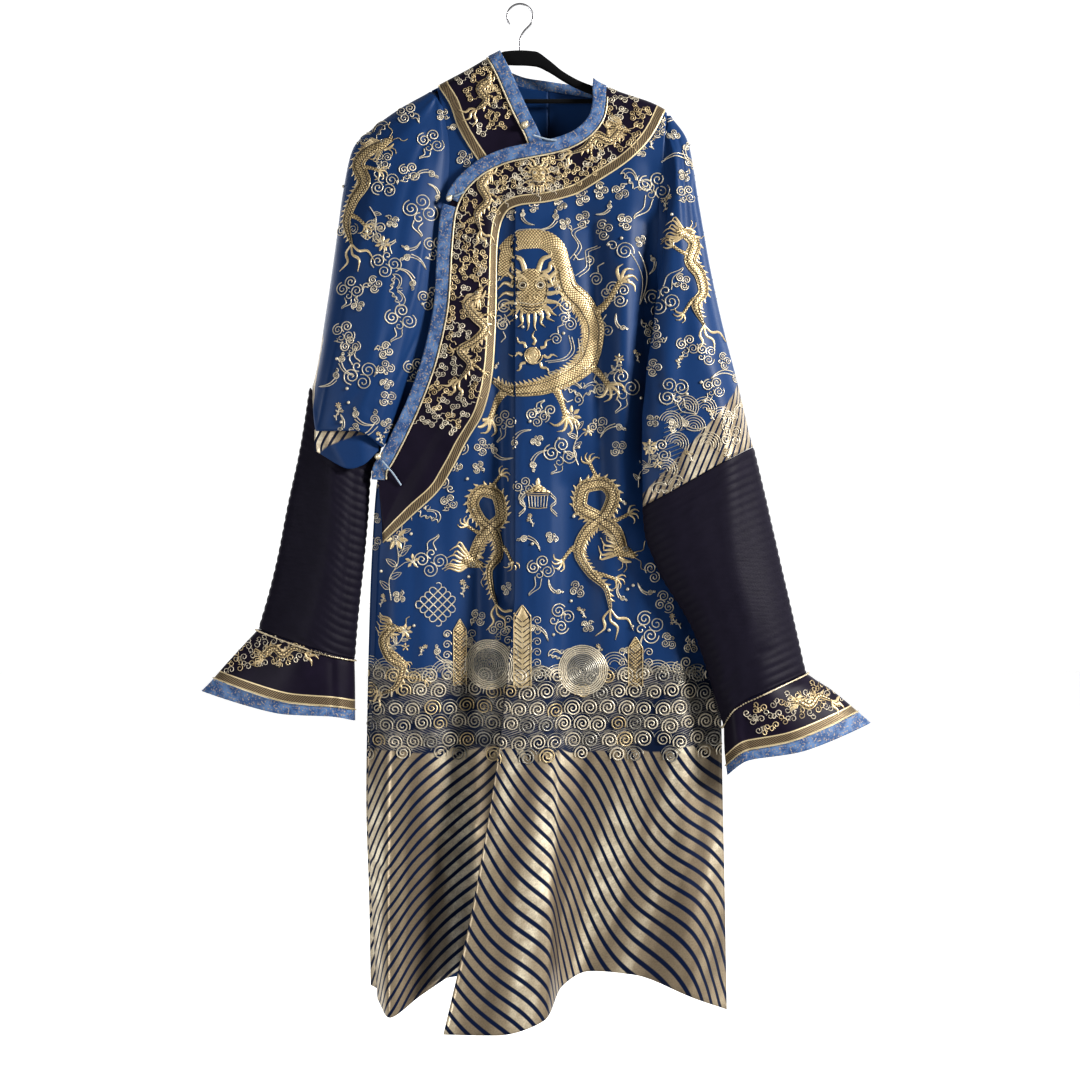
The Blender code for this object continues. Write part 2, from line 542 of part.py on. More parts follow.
def make_body():
    front = panel_points(FRONT_DROPS, FRONT_FOLDS, left_surface, -1, front_top, FRONT_HEM, 0, 7, 19, 26)
    panel("front_left", front, -1, SILK)
    overlap = panel_points(OVERLAP_DROPS, OVERLAP_FOLDS, overlap_surface, -1, overlap_top, OVERLAP_HEM,
                           0, 5, 14, 24)
    panel("front_overlap", overlap, -1, SILK)
    under = panel_points(UNDER_DROPS, UNDER_FOLDS, under_surface, -1, under_top, UNDER_HEM, 0, 3, 8, 22)
    panel("front_under", under, -1, SILK)
    halves = (("back_right", 0, 4, (-1000.0, BACK_SEAM_X - SEAM / 2)),
              ("back_left", 4, 8, (BACK_SEAM_X + SEAM / 2, 1000.0)))
    for name, first, last, limits in halves:
        grid = panel_points(BACK_DROPS, BACK_FOLDS, back_surface, 1, back_top, BACK_HEM, first, last, 11, 22)
        panel(name, grid, 1, SILK, limits)


def make_trims():
    last = len(YOKE_OVERLAP) - 1
    rows = stations(YOKE_OVERLAP, 0, last, 40, True)
    strip("yoke_overlap", front_surface, -1, rows, 7, YOKE_GAP, CLOTH, NAVY)
    over = YOKE_GAP + CLOTH + EDGING_GAP
    beside = EDGING_WIDTH / 2 + PIPING_RADIUS + 2 * SEAM
    pieces = (("edging_upper", 0.3, EDGING_BREAK, 22, True),
              ("edging_lower", EDGING_BREAK + 0.25, last, 20, False))
    for name, start, end, count, crowd in pieces:
        centre = stations(YOKE_OVERLAP, start, end, count, crowd)[:, :2]
        strip(name, front_surface, -1, edge_rows(centre, EDGING_WIDTH), 3, over, CLOTH, BROCADE)
    centre = stations(YOKE_OVERLAP, 1.0, last - 0.1, 38)[:, :2]
    piping("piping_overlap", front_surface, -1, edge_rows(centre, 2 * beside)[:, :2], over)
    rows = stations(YOKE_UNDER, 0.04, len(YOKE_UNDER) - 1, 15, True)
    strip("yoke_under", under_surface, -1, rows, 7, YOKE_GAP, CLOTH, NAVY)
    strip("edging_under", under_surface, -1, edge_rows(rows[:, :2], EDGING_WIDTH), 3, over, CLOTH, BROCADE)
    piping("piping_under", under_surface, -1, edge_rows(rows[:, :2], 2 * beside)[:, 2:], over)
    rows = stations(YOKE_BACK, 0.04, len(YOKE_BACK) - 1.04, 19, True, True)
    strip("yoke_back", back_surface, 1, rows, 6, YOKE_GAP, CLOTH, NAVY)
    x = np.linspace(BACK_NECK[0][0] + 10, BACK_NECK[-1][0] - 16, 12)
    low = smooth(*zip(*BACK_NECK), x) + BACK_EDGING_LAP
    rows = np.stack((x, low - EDGING_WIDTH, x, low), axis=-1)
    strip("edging_back", back_surface, 1, rows, 3, over, CLOTH, BROCADE)


def piping(name, surface, side, route, out):
    """Gold cord on a surface along a route of (x, drop)."""
    points = lay_on(surface, side, route[:, 0], route[:, 1], out + PIPING_RADIUS)
    return tube(name, points, PIPING_RADIUS, 4, GOLD_CORD)


def snap_to_panel(grid, column, outward, drops, edge_line, surface, last_drop):
    """Move a sleeve's edge beside the body panel's edge, down to the underarm point."""
    gap = SLEEVE_GAP[outward]
    for row in range(len(grid)):
        drop = grid[row, column, 2]
        if drop <= last_drop:
            edge = smooth(drops, edge_line, drop)
            grid[row, column, 0] = edge + outward * (gap if row else 2 * gap)
            grid[row, column, 1] = surface(edge, drop)


def sleeve(name, table, rows, side, last_drop, front, front_drops, front_edge, back_edge):
    grid = section_grid(table, 2, rows, False)
    snap_to_panel(grid, 0, side, front_drops, front_edge, front, last_drop)
    snap_to_panel(grid, -1, side, BACK_DROPS, back_edge, back_surface, last_drop)
    cloth_solid(name, grid, grid - grid_normals(grid, False, side) * CLOTH, SILK)
    return grid


def make_sleeves():
    upper_left = sleeve("sleeve_left", SLEEVE_LEFT_ROWS, 13, 1, UNDERARM_LEFT_DROP, left_surface,
           FRONT_DROPS, FRONT_FOLDS[-1][1], BACK_FOLDS[-1][1])
    sleeve("sleeve_right", SLEEVE_RIGHT_ROWS, 17, -1, UNDERARM_RIGHT_DROP, under_surface,
           UNDER_DROPS, UNDER_FOLDS[0][1], BACK_FOLDS[0][1])
    grid = section_grid(SLEEVE_RETURN_ROWS, 2, 5, False)
    cloth_solid("sleeve_right_return", grid, grid - grid_normals(grid, False, -1) * CLOTH, SILK)
    return upper_left


def ring_below(grid):
    """Stations of a ring just below the sleeve above."""
    ring = grid[-1, 2::2].copy()
    ring[:, 2] += 3 * SEAM
    return ring


def make_lower_sleeves(upper_left):
    left = np.concatenate((ring_below(upper_left)[None], np.asarray(LOWER_LEFT_ROWS, float)))
    for name, table, side in (("left", left, 1), ("right", np.asarray(LOWER_RIGHT_ROWS, float), -1)):
        length = np.linalg.norm(table[-1].mean(axis=0) - table[0].mean(axis=0))
        ribs = round(length / RIB_PITCH)
        plain = section_grid(table, 2, 2 * ribs + 1, True)
        normal = grid_normals(plain, True, side)
        raised = plain + normal * (RIB_HEIGHT * (np.arange(2 * ribs + 1) % 2))[:, None, None]
        inner = (plain - normal * CLOTH)[np.unique(np.linspace(0, 2 * ribs, 13).round().astype(int))]
        cloth_solid("lower_sleeve_" + name, raised, inner, RIBBED, closed=True)


def make_cuffs():
    for name, table, side in (("left", CUFF_LEFT_ROWS, 1), ("right", CUFF_RIGHT_ROWS, -1)):
        grid = section_grid(table, 3, 25, True)
        inner = grid - grid_normals(grid, True, side) * CLOTH
        split = 20
        cloth_solid("cuff_" + name, grid[:split + 1:4], inner[:split + 1:4], NAVY, closed=True)
        brim = grid[split:].copy(), inner[split:].copy()
        for layer in brim:
            layer[0] += (layer[1] - layer[0]) * SEAM / np.linalg.norm(layer[1] - layer[0], axis=1)[:, None]
        cloth_solid("cuff_edging_" + name, brim[0][::2], brim[1][::2], BROCADE, closed=True)
        route = (grid + grid_normals(grid, True, side) * (PIPING_RADIUS + 2 * SEAM))[CUFF_PIPING_ROW]
        tube("piping_cuff_" + name, route, PIPING_RADIUS, 4, GOLD_CORD, ring=True)


def make_hanger():
    tops = np.asarray(HANGER_ARMS, float)
    x = np.linspace(tops[0, 0], tops[-1, 0], 31)
    top, height = smooth(tops[:, 0], tops[:, 1], x), smooth(tops[:, 0], tops[:, 2], x)
    corners = ((-0.25, 0.0), (0.25, 0.0), (0.5, 0.3), (0.5, 0.7), (0.25, 1.0), (-0.25, 1.0), (-0.5, 0.7), (-0.5, 0.3))
    work = bmesh.new()
    rings = []
    for place, level, tall in zip(x, top, height):
        rings.append([work.verts.new((place * MM, across * HANGER_THICKNESS * MM, -(level + tall * down) * MM))
                      for across, down in corners])
    for ring, after in zip(rings, rings[1:]):
        for i in range(len(corners)):
            j = (i + 1) % len(corners)
            work.faces.new((ring[i], ring[j], after[j], after[i]))
    work.faces.new(rings[0][::-1])
    work.faces.new(rings[-1])
    bmesh.ops.recalc_face_normals(work, faces=work.faces)
    mesh = bpy.data.meshes.new("hanger_body")
    work.to_mesh(mesh)
    work.free()
    new_object("hanger_body", mesh, VELVET)


def arm_underside(x):
    tops = np.asarray(HANGER_ARMS, float)
    return smooth(tops[:, 0], tops[:, 1], x) + smooth(tops[:, 0], tops[:, 2], x)


def make_hanger_bar():
    work = bmesh.new()
    half = HANGER_THICKNESS / 2 - 1
    rings = []
    for x in np.linspace(BAR_LEFT, BAR_RIGHT, 9):
        share = (x - BAR_LEFT) / (BAR_RIGHT - BAR_LEFT)
        top = arm_underside(BAR_LEFT) * (1 - share) + arm_underside(BAR_RIGHT) * share + SEAM
        corners = ((-half, 0), (half, 0), (half, BAR_HEIGHT), (-half, BAR_HEIGHT))
        rings.append([work.verts.new((x * MM, y * MM, -(top + fall) * MM)) for y, fall in corners])
    for ring, after in zip(rings, rings[1:]):
        for i in range(4):
            j = (i + 1) % 4
            work.faces.new((ring[i], ring[j], after[j], after[i]))
    work.faces.new(rings[0][::-1])
    work.faces.new(rings[-1])
    bmesh.ops.recalc_face_normals(work, faces=work.faces)
    mesh = bpy.data.meshes.new("hanger_bar")
    work.to_mesh(mesh)
    work.free()
    new_object("hanger_bar", mesh, VELVET)


def make_hook():
    radius = HOOK_INSIDE_RADIUS + HOOK_WIRE_RADIUS
    route = [(x, 0, drop) for x, drop in HOOK_SHANK]
    for degrees in range(140, -130, -18):
        turn = math.radians(degrees)
        route.append((radius * math.sin(turn), 0, HOOK_INSIDE_RADIUS - radius * math.cos(turn)))
    tube("hanger_hook", route, HOOK_WIRE_RADIUS, 8, WIRE)


def make_fastenings():
    for name, x, drop, radius, out in BUTTONS:
        surface = under_surface if name == "neck" else front_surface
        work = bmesh.new()
        bmesh.ops.create_uvsphere(work, u_segments=10, v_segments=7, radius=radius * MM)
        centre = (x * MM, (float(surface(x, drop)) - out) * MM, -drop * MM)
        bmesh.ops.translate(work, vec=centre, verts=work.verts)
        mesh = bpy.data.meshes.new("button_" + name)
        work.to_mesh(mesh)
        work.free()
        mesh.shade_smooth()
        new_object("button_" + name, mesh, BUTTON_METAL)
    for name, route in LOOPS:
        points = [(x, float(front_surface(x, drop)) - out, drop) for x, drop, out in along(route, np.linspace(0, 1, 9))]
        tube("loop_" + name, points, LOOP_RADIUS, 6, LOOP_CORD)


def main():
    for old in list(bpy.data.objects):
        bpy.data.objects.remove(old, do_unlink=True)
    make_body()
    make_trims()
    upper_left = make_sleeves()
    make_lower_sleeves(upper_left)
    make_cuffs()
    make_hanger()
    make_hanger_bar()
    make_hook()
    make_fastenings()


main()
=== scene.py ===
# %% [markdown]
# # A dragon robe on its hanger
# The real thing is a side-fastening silk robe: two fronts, a back with a centre seam, two
# sleeves that change to dark ribbed silk below the elbow, and flared cuffs. It hangs from a
# slim velvet hanger. Everything is in metres with the origin at the inside top of the hook.
# Tables below are in millimetres, and "drop" means straight down from that origin.

# %% Start
import json
import math
import random

import bmesh
import bpy
import numpy as np
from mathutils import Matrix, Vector
from mathutils.bvhtree import BVHTree

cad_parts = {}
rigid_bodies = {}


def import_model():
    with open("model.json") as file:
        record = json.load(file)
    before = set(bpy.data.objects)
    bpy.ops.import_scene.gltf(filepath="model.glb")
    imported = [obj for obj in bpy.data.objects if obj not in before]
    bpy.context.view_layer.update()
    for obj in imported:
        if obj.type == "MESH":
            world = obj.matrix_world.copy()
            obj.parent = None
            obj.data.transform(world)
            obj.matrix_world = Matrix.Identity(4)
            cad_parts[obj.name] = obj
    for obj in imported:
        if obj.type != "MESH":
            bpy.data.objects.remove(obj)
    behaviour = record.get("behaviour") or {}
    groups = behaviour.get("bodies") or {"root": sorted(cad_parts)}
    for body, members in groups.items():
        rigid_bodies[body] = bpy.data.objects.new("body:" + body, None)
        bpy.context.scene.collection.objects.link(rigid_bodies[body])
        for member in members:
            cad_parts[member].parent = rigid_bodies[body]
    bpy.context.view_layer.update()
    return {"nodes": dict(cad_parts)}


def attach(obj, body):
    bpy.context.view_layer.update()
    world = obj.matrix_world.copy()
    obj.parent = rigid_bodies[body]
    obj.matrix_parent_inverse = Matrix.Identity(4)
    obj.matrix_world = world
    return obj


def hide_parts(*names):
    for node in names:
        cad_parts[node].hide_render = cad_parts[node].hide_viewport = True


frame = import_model()
MM = 0.001


def show(name, data):
    """A new object in the scene, at the origin, from its mesh, curve, camera or lamp."""
    made = bpy.data.objects.new(name, data)
    bpy.context.scene.collection.objects.link(made)
    return made


print("solids:", len(frame["nodes"]))

# %% [markdown]
# ## Camera
# A hanging garment is best seen straight on from its middle height. A long lens from 2.6 m
# keeps the hem from looking swollen.

# %% Camera
MIDDLE_X, MIDDLE_Z, CAMERA_AWAY = 0.029, -0.7754, 2.6
camera_data = bpy.data.cameras.new("camera")
camera_data.lens = 59.77
camera_data.sensor_width = 36
camera = show("camera", camera_data)
camera.location = (MIDDLE_X, -CAMERA_AWAY, MIDDLE_Z)
camera.rotation_euler = (math.pi / 2, 0, 0)
bpy.context.scene.camera = camera
print("camera looks along +Y from", tuple(round(c, 3) for c in camera.location))

# %% [markdown]
# ## Lamps
# The main lamp stands at the viewer's right, so that each fold has a lit side and a dark
# valley. A large weak one fills from the left and a small one reaches the hem. Two more stand
# behind, so that the back is lit as well. Silk needs large lamps: small ones make hard glints.

# %% Lamps
WARM, COOL, WHITE = (1, 0.98, 0.95), (0.97, 0.98, 1), (1, 1, 1)
# name, place, point it is aimed at, width in metres, power in watts, colour
LAMPS = (("key", (2.5, -1.35, 0.4), (0, 0, -0.8), 0.7, 150, WARM),
         ("fill", (-1.9, -2.3, -0.5), (0, 0, -0.9), 1.2, 26, COOL),
         ("hem", (-1.3, -1.5, -1.2), (-0.16, 0, -1.25), 0.5, 7, WARM),
         ("back_left", (-1.8, 2.3, 0.7), (0, 0, -0.8), 1.5, 26, WHITE),
         ("back_right", (1.9, 2.1, 0.2), (0, 0, -0.8), 1.5, 14, WHITE))
for name, place, aim, width, power, colour in LAMPS:
    data = bpy.data.lights.new(name, "AREA")
    data.shape = "SQUARE"
    data.size, data.energy, data.color = width, power, colour
    lamp = show(name, data)
    lamp.location = place
    lamp.rotation_euler = (Vector(aim) - Vector(place)).to_track_quat("-Z", "Y").to_euler()
print("lamps:", len(LAMPS))

# %% [markdown]
# ## Room and floor
# The room is brightest behind the robe, like a white wall, and dim behind the camera, so that
# it doesn't fill the folds. The floor is one wide sheet below the hem.

# %% Room and floor
FLOOR_REACH, FLOOR_LEVEL = 9.0, -1.62
world = bpy.data.worlds.new("studio")
world.use_nodes = True
sky = world.node_tree.nodes
direction = sky.new("ShaderNodeSeparateXYZ")
brightness = sky.new("ShaderNodeMapRange")
for label, value in (("From Min", -0.15), ("From Max", 0.55), ("To Min", 0.12), ("To Max", 0.95)):
    brightness.inputs[label].default_value = value
sky["Background"].inputs["Color"].default_value = (1, 1, 1, 1)
world.node_tree.links.new(sky.new("ShaderNodeTexCoord").outputs["Generated"], direction.inputs[0])
world.node_tree.links.new(direction.outputs[1], brightness.inputs["Value"])
world.node_tree.links.new(brightness.outputs["Result"], sky["Background"].inputs["Strength"])
bpy.context.scene.world = world
bpy.context.scene.view_settings.view_transform = "Standard"
bpy.context.scene.view_settings.look = "Medium High Contrast"

floor_mesh = bpy.data.meshes.new("floor")
corners = [(x * FLOOR_REACH, y * FLOOR_REACH, FLOOR_LEVEL)
           for x, y in ((-1, -1), (1, -1), (1, 1), (-1, 1))]
floor_mesh.from_pydata(corners, [], [(0, 1, 2, 3)])
show("floor", floor_mesh)

# %% [markdown]
# ## The robe's measures
# These are the same tables that the plain solids were made from: fold lines with their place
# and depth at each height, neck and hem edges, sleeve sections and the hanger's arms.

# %% Sizes and edges
CLOTH = 1.2             # wall of the silk with its backing
HALF_SEAM = 0.15        # front and back pieces stop this far from the middle plane
SEAM = 0.3              # between two pieces sewn edge to edge
YOKE_GAP = 1.2          # air under a yoke that lies on a panel
EDGING_GAP = 0.9        # air under an edging that lies on a yoke
RIDGE_RADIUS = 14.0     # roundness of the cloth over the hanger's arms
EDGING_WIDTH = 19.0     # brocade edging of the neck and the overlap
PIPING_RADIUS = 1.5
RIB_PITCH = 12.2        # crosswise ribs of the lower sleeves
RIB_HEIGHT = 1.1
HOOK_INSIDE_RADIUS = 17.0
HOOK_WIRE_RADIUS = 1.8
HANGER_THICKNESS = 8.0

# The shoulder ridge, from the left sleeve's fold over both hanger arms: (x, drop)
RIDGE = ((-244, 207), (-210, 175), (-174, 149), (-128, 124), (-77, 97), (-38, 75), (0, 60),
         (50, 70), (86, 95), (113, 116), (161, 134), (188, 143), (215, 158), (236, 187))
# Top edge of the outer front under the yoke, from the centre to the ridge: (x, drop)
FRONT_TOP = ((-7, 256), (29, 253), (69, 244), (104, 225), (135, 199), (160, 172), (184, 153),
             (200, 150), (215, 158))
# Neck edge of the under front: (drop, x)
UNDER_NECK = ((75, -34), (99, -20), (129, -7), (160, 7), (192, 23), (208, 29), (300, 30), (1425, 20))
# Lower edge of the back's neck edging: (x, drop)
BACK_NECK = ((-38, 94), (-13, 108), (10, 116), (36, 120), (73, 126), (113, 132))
# Underarm points: down to them a sleeve's edges follow the body panels' side edges
UNDERARM_RIGHT_DROP = 645
UNDERARM_LEFT_DROP = 470
BACK_SEAM_X = 41.0
SLEEVE_GAP = {1: 0.9, -1: 1.5}  # from a body panel's edge to the left and the right sleeve's
BACK_EDGING_LAP = 4.0   # the neck band laps this far over the back panels' top edge
CHEST_CROWDING = 1.3    # rows stand closer at the chest than in the skirt

# %% [markdown]
# ## Fold lines of the body
# Hanging cloth falls in upright folds. Each panel has one row for each ridge and valley, which
# says where it stands and how deep it lies at a few heights. The hem's drop ends each one.

# %% Fold lines
# Each panel's fold lines down the cloth: name, x at every drop, depth (y) at every drop
FRONT_DROPS = (130, 230, 330, 480, 640, 760, 850, 1005, 1150, 1290, 1460)
FRONT_FOLDS = (
    ("slit edge", (-7, -7, -7, -7, -7, -7, -8, -21, -41, -66, -105),
     (-24, -27, -30, -32, -36, -41, -46, -60, -80, -100, -130)),
    ("edge ridge", (10, 9, 8, 8, 8, 8, 9, 4, -4, -14, -30),
     (-24, -28, -31, -34, -38, -43, -48, -61, -78, -98, -131)),
    ("turn", (38, 39, 40, 40, 41, 43, 45, 45, 44, 41, 36),
     (-22, -26, -29, -31, -35, -39, -43, -54, -68, -86, -115)),
    ("turn back", (60, 61, 62, 62, 62, 62, 62, 61, 60, 60, 60),
     (-20, -25, -26, -27, -29, -32, -35, -40, -47, -54, -62)),
    ("valley", (88, 89, 90, 91, 91, 91, 91, 94, 97, 100, 102),
     (-18, -25, -25, -25, -26, -27, -28, -29, -30, -31, -31)),
    ("side ridge", (130, 136, 140, 142, 142, 143, 146, 152, 157, 160, 165),
     (-14, -24, -31, -34, -35, -36, -36, -34, -33, -34, -38)),
    ("side swell", (175, 178, 180, 184, 186, 190, 198, 215, 228, 233, 238),
     (-11, -21, -27, -27, -24, -26, -29, -36, -40, -43, -45)),
    ("side seam", (215, 207, 203, 213, 250, 272, 281, 291, 294, 297, 300),
     (-9, -18, -22, -0.15, -0.15, -0.15, -0.15, -0.15, -0.15, -0.15, -0.15)),
)
FRONT_HEM = (1457, 1458, 1441, 1408, 1393, 1397, 1424, 1456)

OVERLAP_DROPS = (270, 330, 480, 560, 640, 718, 783, 850, 1005, 1150, 1290, 1430)
OVERLAP_FOLDS = (
    ("side edge", (-50, -60, -78, -92, -132, -178, -203, -206, -212, -219, -213, -202),
     (-26, -27, -27, -26, -25, -24, -23, -20, -18, -20, -26, -52)),
    ("side ridge", (-44, -52, -68, -80, -112, -152, -172, -176, -180, -183, -183, -181),
     (-26, -28, -28, -28, -28, -29, -30, -32, -37, -50, -64, -95)),
    ("slope", (-38, -44, -56, -64, -84, -110, -126, -132, -137, -141, -141, -138),
     (-26, -28, -28, -28, -28, -28, -29, -31, -35, -46, -55, -74)),
    ("valley", (-30, -32, -38, -42, -50, -60, -65, -67, -68, -68, -68, -70),
     (-26, -27, -26, -24, -20, -15, -12, -11, -11, -13, -17, -34)),
    ("inner swell", (-12, -12, -13, -14, -16, -19, -24, -28, -36, -42, -44, -44),
     (-26, -26, -27, -27, -25, -22, -20, -18, -16, -17, -20, -27)),
    ("hidden edge", (12, 12, 12, 12, 12, 12, 12, 12, 8, 2, -4, -12),
     (-25, -26, -27, -27, -25, -22, -20, -18, -16, -16, -18, -22)),
)
OVERLAP_HEM = (1428, 1443, 1417, 1384, 1378, 1375)

UNDER_DROPS = (75, 160, 208, 330, 480, 580, 688, 783, 850, 1005, 1150, 1290, 1425)
UNDER_FOLDS = (
    ("side", (-130, -112, -104, -114, -138, -168, -207, -214, -217, -221, -223, -219, -216),
     (-8, -15, -19, -20, -18, -12, -0.15, -0.15, -0.15, -0.15, -0.15, -0.15, -0.15)),
    ("side ridge", (-95, -80, -74, -84, -104, -132, -176, -184, -187, -190, -192, -190, -188),
     (-10, -17, -20, -21, -19, -16, -11, -9, -9, -9, -11, -15, -30)),
    ("middle", (-62, -46, -38, -40, -46, -54, -80, -86, -88, -90, -92, -92, -92),
     (-10, -17, -19, -20, -19, -17, -9, -5, -4, -4, -5, -8, -16)),
    ("inner edge", (-34, 7, 29, 30, 30, 29, 28, 28, 27, 26, 25, 22, 20),
     (-10, -17, -18, -19, -19, -18, -13, -10, -8, -6, -6, -8, -11)),
)
UNDER_HEM = (1421, 1424, 1396, 1372)

BACK_DROPS = (75, 130, 230, 330, 480, 640, 760, 850, 1005, 1150, 1290, 1460)
BACK_FOLDS = (
    ("left side", (-160, -126, -104, -113, -134, -180, -211, -217, -221, -223, -219, -216),
     (8, 10, 18, 21, 20, 0.15, 0.15, 0.15, 0.15, 0.15, 0.15, 0.15)),
    ("left ridge", (-110, -96, -82, -84, -96, -120, -146, -156, -162, -166, -166, -164),
     (9, 14, 24, 29, 33, 35, 40, 44, 50, 56, 62, 70)),
    ("left valley", (-60, -52, -44, -42, -46, -56, -66, -72, -76, -78, -78, -78),
     (12, 16, 22, 25, 26, 27, 28, 30, 32, 34, 36, 40)),
    ("left of seam", (-4, -4, -4, -4, -4, -5, -8, -9, -10, -11, -12, -14),
     (14, 17, 24, 28, 33, 38, 43, 47, 53, 60, 68, 80)),
    ("centre seam", (41, 41, 41, 41, 41, 41, 41, 41, 41, 41, 41, 41),
     (15, 17, 22, 25, 28, 31, 33, 35, 38, 42, 46, 54)),
    ("right of seam", (86, 87, 88, 88, 88, 89, 90, 91, 93, 95, 97, 98),
     (12, 16, 24, 29, 35, 41, 47, 51, 57, 64, 72, 84)),
    ("right valley", (132, 133, 134, 136, 138, 144, 152, 157, 164, 168, 170, 172),
     (9, 13, 21, 25, 27, 28, 29, 30, 32, 34, 37, 42)),
    ("right ridge", (176, 177, 176, 178, 182, 206, 222, 230, 238, 242, 244, 246),
     (8, 11, 20, 26, 28, 31, 36, 40, 46, 52, 58, 66)),
    ("right side", (215, 213, 207, 204, 213, 250, 272, 281, 291, 294, 297, 300),
     (8, 9, 18, 22, 0.15, 0.15, 0.15, 0.15, 0.15, 0.15, 0.15, 0.15)),
)
BACK_HEM = (1421, 1436, 1416, 1444, 1424, 1403, 1400, 1432, 1456)

# %% [markdown]
# ## Yokes
# The yokes are bands between two edges, so each row is a pair of edge points.

# %% Yoke stations
# The overlap yoke, a row for each station from the right ridge round to the underarm:
# (inner x, inner drop, outer x, outer drop). The edging's centre line is the inner edge.
YOKE_OVERLAP = (
    (113, 116, 210, 155), (114, 138, 203, 172), (111, 161, 187, 199), (98, 183, 158, 230),
    (76, 199, 119, 257), (48, 209, 78, 280), (15, 216, 34, 292), (-18, 223, 2, 296),
    (-50, 236, -13, 301), (-76, 256, -24, 315), (-92, 276, -30, 335), (-104, 309, -33, 370),
    (-109, 359, -33, 410), (-113, 431, -34, 460), (-127, 503, -38, 524), (-147, 563, -51, 586),
    (-170, 615, -77, 636), (-192, 658, -114, 701), (-202, 675, -155, 742), (-203, 689, -196, 780),
)
EDGING_BREAK = 10.4     # station where the upper edging ends and the lower one starts
YOKE_UNDER = (
    (-36, 76, -118, 121), (-24, 99, -100, 151), (-11, 129, -90, 180), (3, 160, -76, 206),
    (19, 192, -57, 235), (25, 208, -46, 254),
)
YOKE_BACK = (
    (-44, 78, -118, 121), (-38, 100, -112, 150), (-13, 112, -60, 190), (36, 123, 38, 204),
    (73, 129, 140, 195), (106, 132, 188, 160), (113, 118, 200, 150),
)

# %% [markdown]
# ## Sleeve and cuff sections
# A sleeve is given by sections down the arm, each with the same few points round the cloth.

# %% Upper sleeve sections
# Sleeve sections from the shoulder to the elbow: eight stations round the cloth, each (x, y, drop):
# front tuck, front fold, front swell, front crease, top fold, back crease, back swell, back tuck
SLEEVE_LEFT_ROWS = (
    ((208.5, -18, 232), (211, -17, 214), (214, -14, 192), (217, -9, 171), (218.5, 0, 160),
     (217, 9, 171), (214, 15, 195), (209, 18, 232)),
    ((205.5, -23, 300), (212, -28, 284), (221, -30, 252), (235, -19, 213), (243, 0, 197),
     (235, 17, 213), (221, 23, 252), (206, 22, 300)),
    ((206.5, -22, 390), (202, -36, 380), (218, -43, 346), (246, -30, 303), (259, -2, 290),
     (247, 20, 305), (221, 26, 345), (207, 20, 390)),
    ((219, -4, 478), (189, -39, 474), (215, -53, 448), (258, -41, 414), (279, -6, 400),
     (263, 19, 412), (235, 16, 450), (219, 2.5, 480)),
    ((204, -34, 560), (179, -46, 556), (211, -64, 532), (268, -52, 498), (297, -11, 482),
     (276, 10, 492), (246, -8, 530), (208, -30, 561)),
    ((179, -43, 640), (174, -52, 639), (212, -68, 616), (281, -60, 578), (317, -14, 561),
     (289, 2, 574), (244, -20, 610), (182, -40, 641)),
    ((176, -45, 729), (175, -54, 728), (215, -68, 706), (290, -62, 664), (336, -16, 641),
     (300, -2, 660), (240, -28, 696), (179, -42, 729.5)),
)
SLEEVE_RIGHT_ROWS = (
    ((-114, -16, 162), (-117, -15.5, 152), (-120.5, -13, 141), (-126.5, -8, 131), (-131, 0, 125.5),
     (-128.5, 8, 131), (-124, 13, 142), (-119, 16, 162)),
    ((-105, -19, 215), (-118, -24, 203), (-135, -25, 185), (-158, -15, 154), (-172, 0, 148.5),
     (-160, 15, 154), (-140, 22, 185), (-106, 18, 215)),
    ((-107, -20, 265), (-126, -30, 255), (-154, -36, 232), (-193, -24, 192), (-212, 0, 178),
     (-196, 18, 192), (-160, 28, 232), (-107, 20, 265)),
    ((-112, -20, 312), (-134, -34, 304), (-170, -44, 285), (-218, -30, 245), (-242, 0, 208),
     (-224, 20, 245), (-178, 34, 285), (-111, 21, 312)),
    ((-119, -20, 362), (-140, -36, 356), (-180, -50, 342), (-228, -36, 304), (-256, -1, 266),
     (-236, 22, 304), (-188, 38, 342), (-117, 21, 362)),
    ((-127.5, -19, 431), (-148, -37, 426), (-190, -55, 414), (-240, -42, 382), (-266, -3, 340),
     (-246, 22, 382), (-198, 38, 414), (-129, 20, 431)),
    ((-146, -17, 510), (-163, -36, 506), (-202, -58, 496), (-256, -47, 470), (-279, -4, 436),
     (-258, 20, 470), (-210, 36, 496), (-142, 18, 510)),
    ((-169, -13, 580), (-178, -36, 577), (-216, -60, 568), (-272, -50, 546), (-292, -5, 520),
     (-268, 18, 546), (-218, 32, 568), (-160, 14, 580)),
    ((-193, -14, 634), (-196, -38, 643), (-232, -58, 621), (-290, -44, 620), (-299.5, -9, 552),
     (-276, 17, 590), (-226, 28, 616), (-182, 8, 634)),
)
SLEEVE_RETURN_ROWS = (
    ((-203, -37, 614), (-232, -46, 600), (-262, -44, 598), (-292, -33, 598)),
    ((-201, -37, 638), (-230, -47, 640), (-262, -46, 634), (-294, -34, 628)),
    ((-202, -36, 648), (-224, -44, 669), (-244, -45, 674), (-293, -33, 648)),
)

# %% [markdown]
# ## Lower sleeve and cuff sections
# Below the elbow the sections are closed rings. The cuffs start from the last of them and flare.

